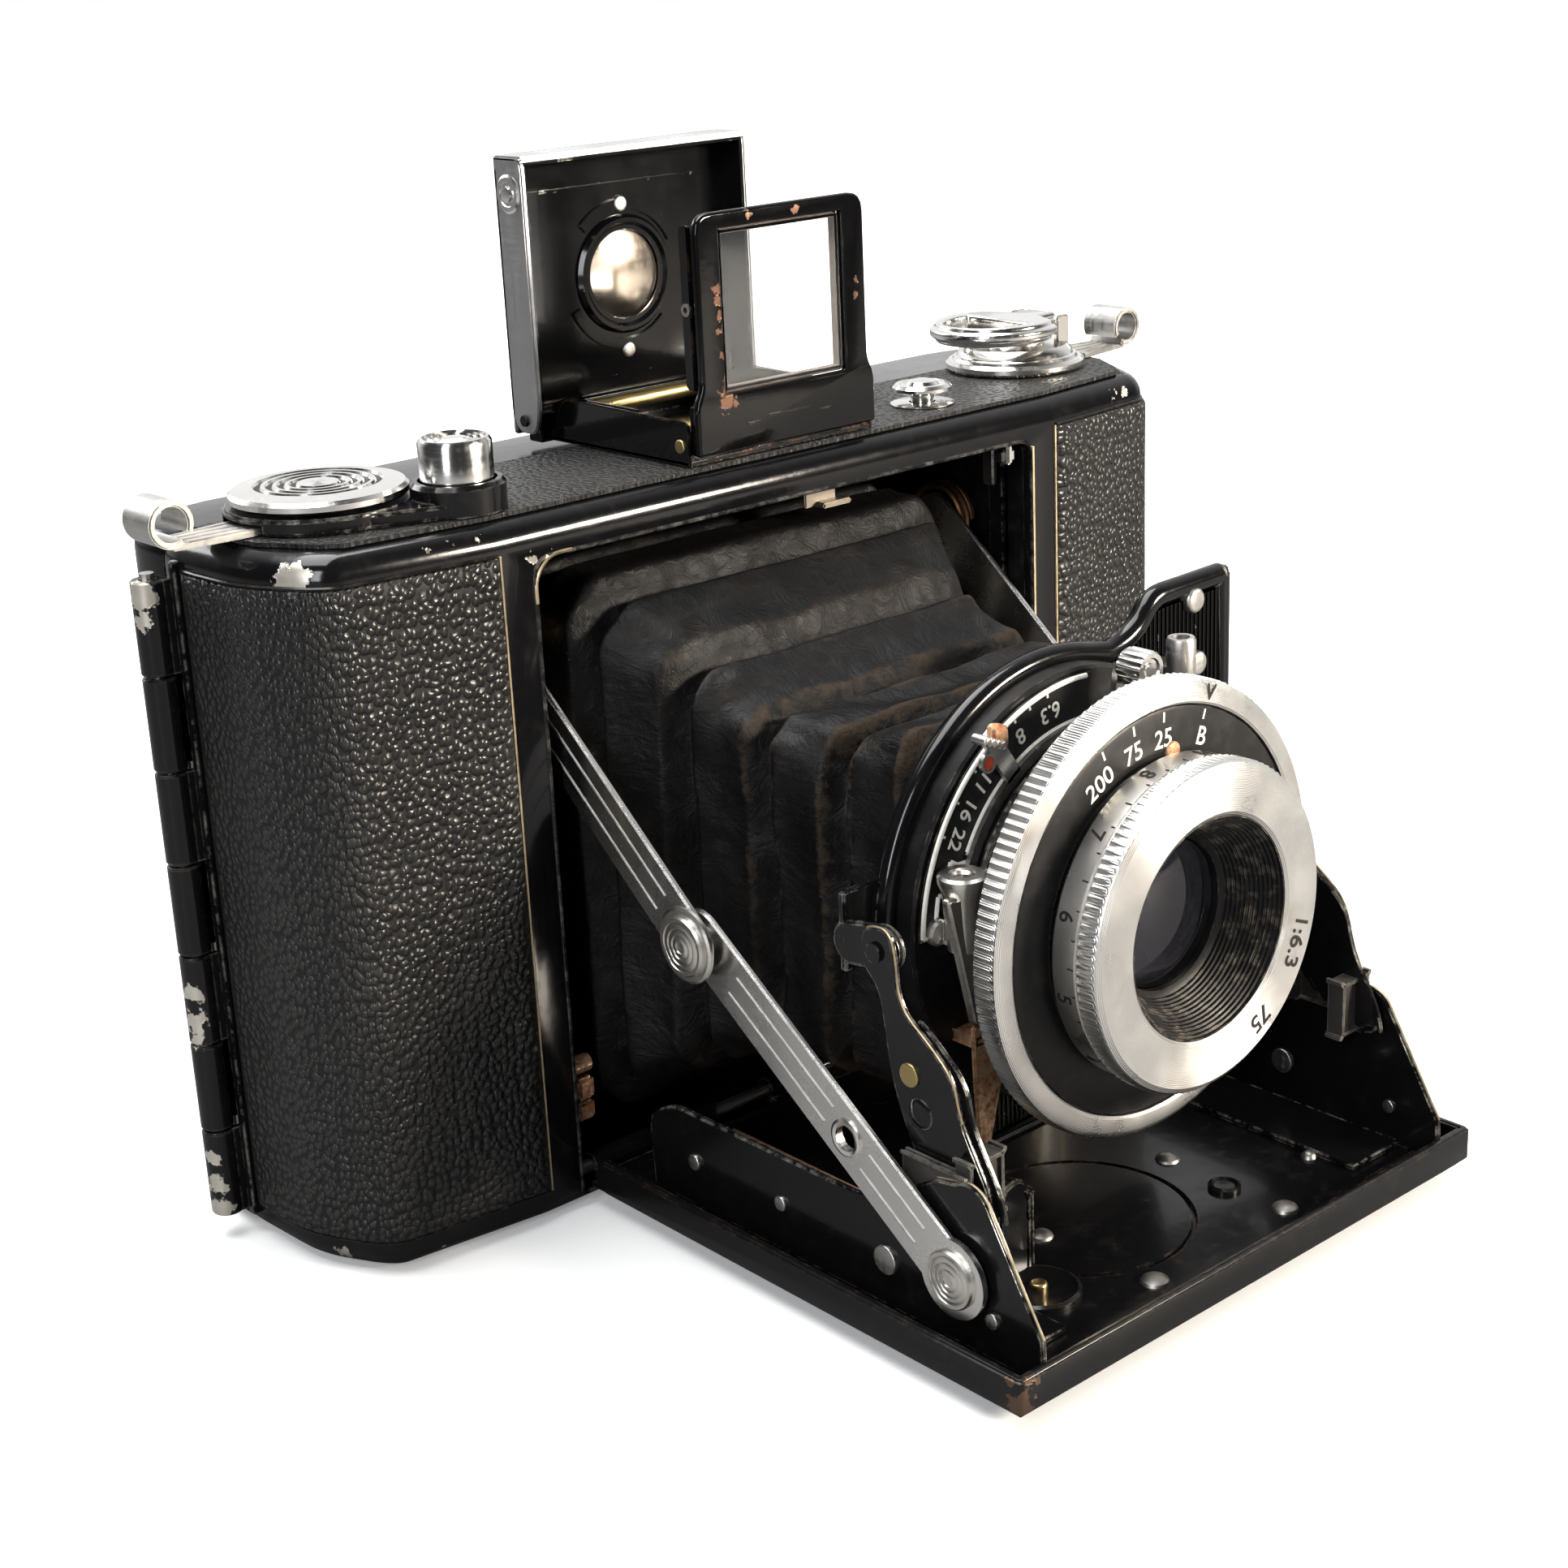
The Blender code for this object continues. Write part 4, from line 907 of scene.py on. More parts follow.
def make_inside():
    """What shows inside the opening, and the solids that nobody sees."""
    repaint("deep_black", "film_gate", "takeup_spool", "rear_lens_cell")
    repaint("wood", "supply_spool")
    repaint("brass", "tripod_bush")
    repaint("steel", "pressure_plate")
    strip = block((38.7, 39.3), reach(-4.6, -7.0), (6, 77.5), 0.1)
    piece(strip, "opening_guide", "root", "enamel")
    catch = [block((35.6, 37.9), reach(-1.2, -3.2), (76.6, 78.4), 0.35),
             block((36.0, 37.0), reach(-0.8, -2.6), (76.4, 79.1), 0.3),
             block((37.5, 38.4), reach(-5.0, -7.0), (72.9, 78.0), 0.25)]
    piece(catch, "bed_catch", "root", "chrome")
    clip = [block((3.6, 8.6), reach(-3.6, -4.1), (76.4, 79.0), 0.15),
            block((5.2, 9.8), reach(-2.0, -4.0), (76.3, 77.0), 0.2),
            block((3.6, 9.0), reach(-3.9, -6.0), (78.4, 79.0), 0.15)]
    piece(clip, "bed_latch_spring", "root", "dull_nickel")
    for side, name in SIDES:
        x = layer(side, 36.0, 38.6)
        parts = [block(x, reach(-0.6, -3.4), (12.9, 15.8), 0.5),
                 block(x, reach(-0.9, -3.0), (10.2, 12.6), 0.4),
                 disc(1.1, *x, 0.2, "X", (ahead(-2.0), 17.2), 20)]
        piece(parts, f"hinge_spring_{name}", "bed", "rust" if side < 0 else "copper")
        turns = []
        low, high = box_mm(f"brace_spring_{name}")
        middle = ((low.y + high.y) / 2, (low.z + high.z) / 2)
        radius, points, per_turn, width = 4.3, 66, 26, 2.4
        for i in range(points):
            turn = 2 * math.pi * i / per_turn
            x = side * (37.3 + width * i / (points - 1))
            turns.append((x, middle[0] + radius * math.cos(turn), middle[1] + radius * math.sin(turn)))
        coil = tube(turns, 0.5, sides=8)
        piece(coil, f"brace_coil_{name}", "root", "copper", [f"brace_spring_{name}"])


def make_bellows():
    """Pleats with flat panels, worn ridges and deep folds, whose corners are folded in like a box."""
    pleats, start, end = 7, -29.6, 37.6
    # distance ahead, half width, bottom and top of the outer folds
    sizes = [(start, 34.4, 7.0, 75.2), (-4, 34, 8, 75.0), (3, 30.6, 13, 70.6), (10, 26.8, 17, 65.4),
             (17, 24.4, 18.6, 61.2), (28, 21.4, 18.6, 60.6), (end, 19.6, 18.4, 61.8)]

    def size(place):
        for near, far in zip(sizes, sizes[1:]):
            if place <= far[0]:
                share = (place - near[0]) / (far[0] - near[0])
                return [a + (b - a) * share for a, b in zip(near[1:], far[1:])]
        return sizes[-1][1:]

    # share of a pleat, depth of the fold there, wear
    profile = [(0.0, 3.1, 0.1), (0.04, 2.0, 0.2), (0.08, 0.8, 0.45), (0.11, 0.2, 0.8), (0.15, 0.0, 0.75),
               (0.2, 0.1, 0.25), (0.32, 0.3, 0.05), (0.5, 0.35, 0.0), (0.66, 0.2, 0.1), (0.73, 0.0, 0.8),
               (0.77, 0.05, 1.0), (0.81, 0.5, 0.75), (0.87, 1.6, 0.4), (0.94, 2.7, 0.1)]
    stations = []
    for i in range(pleats):
        for share, depth, fold in profile:
            place = start + (end - start) * (i + share) / pleats
            front_share = max(0.0, (place + 5) / 42)
            stations.append((place, depth * (0.85 - 0.32 * front_share), fold * (0.3 + 0.75 * front_share)))
    stations.append((end, 0.6, 0.3))
    per_side = 26
    shape = bmesh.new()
    rings, folds = [], []
    for place, depth, fold in stations:
        half, low, high = size(place)
        middle, tall = (low + high) / 2, (high - low) / 2
        ring = []
        for side in range(4):
            for k in range(per_side):
                u = -1 + 2 * k / per_side
                chamfer = 0.13 + 0.02 * depth
                past = max(0.0, abs(u) - (1 - chamfer)) / 2
                run, fold_in = math.copysign(abs(u) - past, u), past
                a, b = ((run, 1 - fold_in), (1 - fold_in, -run), (-run, -1 + fold_in),
                        (-1 + fold_in, run))[side]
                rough = noise.noise(Vector((a * 4.1, b * 4.1, place * 0.31)))
                fine = noise.noise(Vector((a * 11.0 + 7, b * 11.0, place * 0.9)))
                flank = abs(u) < 1 - chamfer
                sag = 0.9 * (1 - u * u) * max(0.0, (place + 4) / 40) if side == 0 and flank else 0.0
                front_half = min(1.0, max(0.15, (place + 6) / 30))
                slant = noise.noise(Vector((a * 2.2 + place * 0.05, b * 2.2, place * 0.16 - a * 1.4)))
                ragged = 0.75 if a < -0.74 and b > 0.74 and -2 < place < 24 and depth < 1.0 else 0.18
                wave = (0.55 * rough + 1.1 * slant) * front_half + ragged * fine
                z = middle + b * (tall - depth + wave) - sag
                slump = min(1.0, max(0.0, (z - 40) / 24)) * min(1.0, max(0.0, (26 - place) / 20))
                x = a * (half - depth + wave - 8.5 * slump * max(0.0, a))
                ring.append(shape.verts.new((x, ahead(place + 0.5 * rough), z)))
                corner = max(0.0, (abs(u) - 0.75) / 0.25)
                dust = 0.42 * max(0.0, (place + 4) / 36) * (0.7 + 0.9 * rough) if side == 0 else 0.0
                folds.append(min(1.0, fold * (0.85 + 0.5 * rough) + 0.3 * corner * fold + dust))
        rings.append(ring)
    for ring, following in zip(rings, rings[1:]):
        bridge(shape, ring, following)
    sheet = object_from(shape)
    attribute = sheet.data.attributes.new("fold", "FLOAT", "POINT")
    attribute.data.foreach_set("value", folds)
    thick = sheet.modifiers.new("thickness", "SOLIDIFY")
    thick.thickness = 0.5 * MM
    thick.offset = -1
    smooth = sheet.modifiers.new("smooth", "SUBSURF")
    smooth.levels = smooth.render_levels = 1
    applied(sheet)
    piece(sheet, "pleated_bellows", "root", "bellows_cloth", ["bellows"], angle=60)
    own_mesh(sheet)


# ---------------------------------------------------------------- back


def make_back():
    """The back door with its leather, red window, slide and catch."""
    def back_outline(inset_by, start=BACK + 0.3):
        side = HALF_WIDTH - inset_by
        corners = [(side, start), (side, 14 - inset_by * 0.4),
                   (65.5 - inset_by * 0.7, 18.6 - inset_by * 0.8)]
        right = filleted(corners + [(58, 20 - inset_by)], [0, 3, 4, 0], closed=False)
        return right + [(-x, y) for x, y in reversed(right)]

    centre = (0, LENS_Z)
    door = loft([(back_outline(i), z) for i, z in shoulders(2.6, 0, BODY_TOP)], "Z")
    cut(door, prism(back_outline(1.5, BACK - 5), "Z", 1.5, BODY_TOP - 1.5))
    cut(door, disc(4.2, 10, 30, 0.01, "Y", centre, 48))
    softened(door, 0.2)
    piece(door, "back_cover", "back", "enamel", ["back_door"])

    skin = prism(filleted(rectangle(-56, 56, 4, 80), 2.5), "Y", 20.1, 20.7, bevel=0.3)
    cut(skin, disc(6.6, 10, 30, 0.01, "Y", centre, 48))
    piece(skin, "back_leather", "back", "leather", ["leather_back"])
    ring = turned([(4.4, 19.9), (6.3, 19.9), (6.3, 20.5), (5.9, 20.8), (4.8, 20.8), (4.4, 20.5)], "Y",
                  centre, 64)
    piece(ring, "red_window_ring", "back", "nickel")
    window = disc(4.0, 18.7, 19.8, 0.3, "Y", centre, 48)
    piece(window, "film_window", "back", "red_glass", ["red_window"])

    cover = prism(filleted(rectangle(-13, 7, 35, 47), 3.0), "Y", 21.0, 21.8, bevel=0.25)
    grips = [block((x, x + 0.7), (21.5, 22.8), (37, 45), 0.2) for x in (-12.2, -11.0, -9.8)]
    piece([cover] + grips, "window_slide", "window_cover", "nickel", ["window_cover"])
    rails = [block((-24, 10), (20.75, 22.1), z, 0.2) for z in ((33.6, 34.7), (47.3, 48.4))]
    piece(rails, "window_rails", "back", "nickel")

    low, high = box_mm("back_latch")
    plate = block((low.x, low.x + 1.0), (low.y, high.y), (30, 52), 0.3)
    rolls = [disc(1.1, 32, 50, 0.2, "Z", (high.x - 1.2, high.y - 1.1), 24)]
    for z in (34, 37, 40, 43, 46):
        rolls.append(block((low.x + 0.8, low.x + 1.35), (low.y + 1, high.y - 3), (z, z + 1.2), 0.2))
    piece([plate] + rolls, "back_catch", "back_latch", "chrome", ["back_latch"])


# ---------------------------------------------------------------- top


def make_top():
    """Release housing, knobs, buttons, winding key and strap loops."""
    top = BODY_TOP + 0.7
    repaint("fine_leather", "leather_top")
    knob_y = -2.5
    disc_centre, release = (-55.0, knob_y), (-43.5, -12.5)
    ring_radii = (7.1, 5.8, 4.5, 3.2)

    housing = prism(arc(disc_centre, 10.6, 0, 352, 60), "Z", top, 86.5, bevel=0.3)
    neck = prism(filleted([(-56, -13.0), (-44, -17.4), (-39.6, -9), (-48, 4)], 1.5), "Z", top, 86.3,
                 bevel=0.3)
    boss = turned([(0, top), (5.3, top), (5.3, 87.6), (4.9, 88.1), (0, 88.1)], "Z", release, 64)
    fuse(housing, neck, boss)
    well = [(0, 80), (1.8, 80), (1.8, 85.6), (4.4, 85.6), (4.4, 95), (0, 95)]
    cut(housing, turned(well, "Z", release, 48))
    cut(housing, disc(2.4, 80, 95, 0.01, "Z", disc_centre, 32))
    cut(housing, block((-67, -57.6), (-6.6, 1.4), (top - 3, 85.9), 0))
    piece(softened(housing, 0.2), "release_boss", "root", "enamel", ["release_housing"])

    profile = [(0, 73), (2.1, 73), (2.1, 86.8), (9.6, 86.8), (9.9, 87.1), (9.9, 87.7), (9.5, 88.1),
               (7.6, 88.4)]
    for radius in ring_radii:
        profile += [(radius, 88.4), (radius - 0.2, 88.05), (radius - 0.7, 88.05), (radius - 0.9, 88.4)]
    profile += [(1.2, 88.2), (0, 88.5)]
    knob = turned(profile, "Z", disc_centre, 128)
    piece(knob, "film_knob", "supply_knob", "chrome", ["supply_knob"])
    # Dark rings laid in the knob's turned grooves: painted shade in the grooves.
    grooves = [turned(rectangle(r - 0.68, r - 0.22, 88.06, 88.12), "Z", disc_centre)
               for r in ring_radii]
    piece(grooves, "film_knob_groove_shade", "supply_knob", "black_fill_and_groove_shade")

    profile = [(0, 80), (1.5, 80), (1.5, 87.9), (3.9, 87.9), (4.1, 88.2), (4.1, 92.2), (3.8, 92.7)]
    for radius in (3.5, 2.7, 1.9):
        profile += [(radius, 92.75), (radius - 0.15, 92.4), (radius - 0.4, 92.4), (radius - 0.55, 92.6)]
    profile += [(0.5, 92.45), (0, 92.5)]
    piece(turned(profile, "Z", release, 96), "shutter_button", "release_plunger", "chrome",
          ["release_plunger"])

    low, high = box_mm("door_button")
    centre = ((low.x + high.x) / 2, (low.y + high.y) / 2)
    profile = [(0, 80), (1.5, 80), (1.5, 86.2), (3.0, 86.2), (3.8, 86.5), (3.8, 86.9), (3.4, 87.3),
               (2.9, 87.35), (2.6, 87.15), (2.2, 87.15), (1.8, 87.6), (0.9, 87.85), (0, 87.9)]
    piece(turned(profile, "Z", centre, 64), "opening_button", "door_button", "chrome",
          ["door_button"])
    collar = turned([(1.7, top), (4.1, top), (4.1, 84.85), (3.8, 84.97), (1.7, 84.97)], "Z", centre, 48)
    piece(collar, "opening_button_collar", "root", "chrome")

    knob_x = joint_mm("winding_turn").x
    centre = (knob_x, knob_y)
    profile = [(0, 73), (2.1, 73), (2.1, top + 0.1), (9.2, top + 0.1), (9.4, top + 0.4), (9.4, 85.7),
               (9.0, 86.05), (8.5, 86.1), (8.3, 86.5), (7.9, 86.6), (7.6, 87.3), (7.0, 87.8), (4.2, 88.0),
               (4.0, 88.6), (0, 88.6)]
    flange = turned(profile, "Z", centre, 128)
    pivot = joint_mm("winding_key_flip")
    ears = [flange]
    for y in (knob_y - 4.4, knob_y + 3.6):
        ears.append(block((pivot.x - 1.2, pivot.x + 1.2), (y, y + 0.8), (86.6, 91.4), 0.2))
    piece(ears, "winding_flange", "winding_knob", "chrome", ["winding_knob"])

    loop = arc((knob_x - 4.0, knob_y), 8.6, 55, 305, 60)
    for x, y in ((-2.2, -3.2), (1.2, -3.2), (1.2, 3.2), (-2.2, 3.2)):
        loop.append((pivot.x + x, knob_y + y))
    key = prism(loop, "Z", 89.0, 91.6, bevel=0.7, segments=4)
    cut(key, prism(arc((knob_x - 5.2, knob_y), 5.9, 70, 290, 48), "Z", 80, 95))
    piece(softened(key, 0.35, 3), "folding_key", "winding_key", "chrome", ["winding_key"])

    for side, name in SIDES:
        middle, radius = (74.6, 87.7), 2.62
        outer, inner = arc(middle, radius, -120, 210, 40), arc(middle, radius * 0.72, 210, -120, 40)
        roll = prism([(side * x, z) for x, z in outer + inner], "Y", -5.6, 0.4, bevel=0.18)
        edge = 64.9 if side > 0 else 58.6
        corners = [(side * edge, 1.2), (side * edge, -6.4), (side * 74.4, -5.0), (side * 74.4, -0.2)]
        strip = prism(corners, "Z", top, 85.4, bevel=0.12)
        grooves = []
        for y in (-5.0, -3.6, -2.2, -0.8):
            spread = (y + 2.6) * 0.25
            start = (side * (edge + 1), y + spread, 85.42)
            grooves.append(tube([start, (side * 72.5, y, 85.42)], 0.12, sides=6))
        piece([roll, strip], f"strap_loop_{name}", "root", "nickel", [f"strap_lug_{name}"])
        piece(grooves, f"strap_ribs_{name}", "root", "steel")


# ---------------------------------------------------------------- finder


def make_finder():
    """The folding finder: tray, front frame with its glass, and rear cover with its eyepiece."""
    top = BODY_TOP + 0.7
    rear, front = joint_mm("finder_rear_fold"), joint_mm("finder_front_fold")
    walls = [(ahead(-3.4), top), (ahead(-3.4), 86.9), (ahead(-5.5), 87.8), (ahead(-10.4), 88.0),
             (ahead(-13.0), 90.2)]
    walls += [(ahead(-27.0), 90.2), (ahead(-29.5), 88.7), (ahead(-31.7), 88.7), (ahead(-31.7), top)]
    walls = filleted(walls, [0, 0.8, 1, 1, 1, 1, 1, 0.8, 0])
    cheek = filleted([(ahead(-2.9), top), (ahead(-2.9), 89.9), (ahead(-27.0), 90.2), (ahead(-30.0), top)],
                     [0, 1.2, 1.5, 0])
    parts = [block((-14.5, 14.5), reach(-3.0, -31.7), (top, 85.4), 0.2)]
    for side in (-1, 1):
        parts.append(prism(cheek, "X", *layer(side, 14.0, 14.5), bevel=0.15))
        parts.append(prism(walls, "X", *layer(side, 13.25, 13.9), bevel=0.15))
        ear = disc(1.3, *layer(side, 13.8, 16.3), 0.1, "X", rear, 24)
        foot = block(layer(side, 13.8, 16.3), reach(-29.2, -31.8), (top, 87.4), 0.15)
        parts += [ear, foot]
    parts.append(block((-13.9, 13.9), reach(-30.9, -31.7), (top, 88.5), 0.15))
    piece(parts, "finder_tray", "root", "finder_enamel", ["finder_base"])
    rivets = []
    for side in (-1, 1):
        x = side * 14.4
        rivets.append(disc(0.85, x, x + side * 0.4, 0.2, "X", front, 32))
    piece(rivets, "finder_front_rivets", "root", "brass", ["finder_front_pin"])
    roll = turned(rectangle(0.75, 1.0, -13.1, 13.1), "X", rear, 40)
    piece(roll, "finder_rear_roll", "root", "brass")
    repaint("deep_black", "finder_rear_pin")

    near, far = ahead(-1.6), ahead(-2.8)
    outline = [(-13.9, 85.8), (13.9, 85.8), (13.9, 91.8), (12.9, 93.6), (12.9, 113.3), (-12.9, 113.3),
               (-12.9, 93.6), (-13.9, 91.8)]
    outline = filleted(outline, [0, 0, 1.2, 1.2, 2.2, 2.2, 1.2, 1.2], steps=4)
    plate = prism(outline, "Y", far, near)
    cut(plate, block((-9.4, 9.4), reach(8, -8), (92.6, 111.4), 0))
    softened(plate, 0.42, 4)
    frame_parts = [plate]
    for side in (-1, 1):
        x = layer(side, 12.15, 12.85)
        low_x = layer(side, 13.25, 13.85)
        frame_parts.append(prism(filleted([(far + 0.5, 93.0), (ahead(-4.9), 93.4), (ahead(-4.9), 111.8),
                                           (far + 0.5, 112.0)], 0.6),
                                 "X", *x, bevel=0.15))
        frame_parts.append(block(low_x, (far - 0.6, ahead(-3.3)), (86.0, 91.6), 0.1))
        ear_x = layer(side, 12.1, 12.8)
        frame_parts.append(disc(1.4, *ear_x, 0.1, "X", front, 24))
        frame_parts.append(block(ear_x, (far - 0.4, ahead(-4.4)), (86.2, 88.2), 0.1))
    bars = []
    left, right, bottom, up, width = -9.4, 9.4, 92.6, 111.4, 0.7
    for x, z in (((left, right), (bottom, bottom + width)), ((left, right), (up - width, up)),
                 ((left, left + width), (bottom, up)), ((right - width, right), (bottom, up))):
        bars.append(block(x, reach(-2.5, -3.6), z, 0.1))
    piece(frame_parts, "finder_frame", "finder_front", "finder_enamel", ["finder_front_frame"])
    piece(bars, "finder_glass_bezel", "finder_front", "sill")
    marks = [block(x, (near - 0.05, near + 0.1), (z, z + 0.25), 0.02)
             for x, z in (((-3.4, 3.4), 89.1), ((-6.6, -4.6), 88.6), ((4.6, 6.6), 88.6))]
    piece(marks, "finder_frame_lines", "finder_front", "rim_enamel")
    pane = faceplate(filleted(rectangle(-9.2, 9.2, 92.8, 111.2), 0.5), -2.0, -2.5, bevel=0.1)
    piece(pane, "finder_pane", "finder_front", "glass", ["finder_front_glass"])
    hole = turned(rectangle(0.35, 0.75, 0, 0.3), "X", (ahead(-4.0), 102.5), 20)
    hole.data.transform(Matrix.Translation(((-12.85 - 0.2) * MM, 0, 0)))
    piece(hole, "finder_side_eyelet", "finder_front", "steel")

    # the rear cover: a satin outside with a black liner, and an eyepiece in the middle
    low, high, half = 85.6, 119.0, 17.6
    front_edge, eye = ahead(-27.6), (0, 103)
    plate_y = reach(-32.4, -33.1)
    back = prism(filleted(rectangle(-half, half, low, high), [0.5, 0.5, 1.6, 1.6]), "Y", *plate_y,
                 bevel=0.2)
    cut(back, disc(5.6, 5, 30, 0.01, "Y", eye, 64))
    hood = block((-half, half), (front_edge, plate_y[1]), (118.3, high), 0.25)
    shell = [back, hood]
    for side in (-1, 1):
        x = layer(side, half - 0.7, half)
        flange = filleted([(front_edge, 88.5), (front_edge, high - 0.1), (plate_y[1], high - 0.1),
                           (plate_y[1], 88.5), (ahead(-30.3) + 1.8, 85.9), (ahead(-30.3) - 1.8, 85.9)],
                          [1.5, 1.6, 0.3, 0.3, 1.8, 1.8])
        shell.append(prism(flange, "X", *x, bevel=0.18))
    piece(shell, "finder_cover", "finder_rear", "satin", ["finder_rear_cover"])

    black_y = (plate_y[0] - 0.5, plate_y[0] - 0.02)
    liner = prism(filleted(rectangle(-16.8, 16.8, 90.65, 118.2), 0.6), "Y", *black_y)
    cut(liner, disc(6.9, 5, 30, 0.01, "Y", eye, 64))
    sheets = [liner, block((-16.85, 16.85), (ahead(-27.9), black_y[0]), (117.9, 118.25), 0.05)]
    sheets.append(block((-16.8, 16.8), (plate_y[0] - 0.14, plate_y[0] - 0.02), (87.6, 90.9), 0.03))
    for side in (-1, 1):
        sheets.append(block(layer(side, 16.5, 16.85), (ahead(-27.9), black_y[0]), (88.8, 118.0), 0.05))
    sheets.append(block((-16.6, 16.6), (black_y[0] - 0.25, black_y[0] + 0.05), (114.0, 114.35), 0.08))
    piece(sheets, "finder_liner", "finder_rear", "liner_enamel")

    y0 = black_y[0]
    ring = turned([(5.5, y0 + 0.9), (7.3, y0 + 0.9), (7.3, y0 - 0.3), (6.9, y0 - 0.8), (6.4, y0 - 0.8),
                   (6.0, y0 - 0.4), (5.5, y0 - 0.4)], "Y", eye, 72)
    steps = [ring]
    for start in (25, 205):
        band = arc(eye, 9.3, start, start + 110, 24) + arc(eye, 7.9, start + 110, start, 24)
        steps.append(prism(band, "Y", y0 + 0.05, y0 - 0.3, bevel=0.1))
    piece(steps, "eyepiece_mount", "finder_rear", "liner_enamel")
    lens = [(0, y0 + 1.0), (5.4, y0 + 1.0), (5.4, y0 + 0.1), (4, y0 - 0.45), (2, y0 - 0.75), (0, y0 - 0.85)]
    piece(turned(lens, "Y", eye, 48), "eyepiece", "finder_rear", "eyepiece_painted_sheen",
          ["eyepiece_lens"])
    bezel = turned([(5.5, plate_y[1] - 0.05), (6.9, plate_y[1] - 0.05), (6.7, 13.3), (6.2, 13.4),
                    (5.5, 13.35)], "Y", eye, 64)
    piece(bezel, "eyepiece_rim", "finder_rear", "black")
    rivets = [disc(1.0, y0 + 0.1, y0 - 0.45, 0.3, "Y", (0, z), 32) for z in (111.6, 93.6)]
    piece(rivets, "finder_cover_rivets", "finder_rear", "nickel")
    for side, name in SIDES:
        x = side * (half - 0.05)
        cap = [(r, x + side * h) for r, h in ((0, 0), (2.3, 0), (2.3, 0.1), (2.0, 0.3), (1.5, 0.3),
                                              (1.4, 0.15), (1.0, 0.15), (0.9, 0.5), (0, 0.6))]
        rivet = turned(cap, "X", (ahead(-30.4), 114.6), 40)
        piece(rivet, f"finder_side_rivet_{name}", "finder_rear", "plate")
        pin = disc(0.75, x, x + side * 0.12, 0.05, "X", rear, 24)
        piece(pin, f"finder_pivot_hole_{name}", "finder_rear", "deep_black")


# ---------------------------------------------------------------- bed and linkage


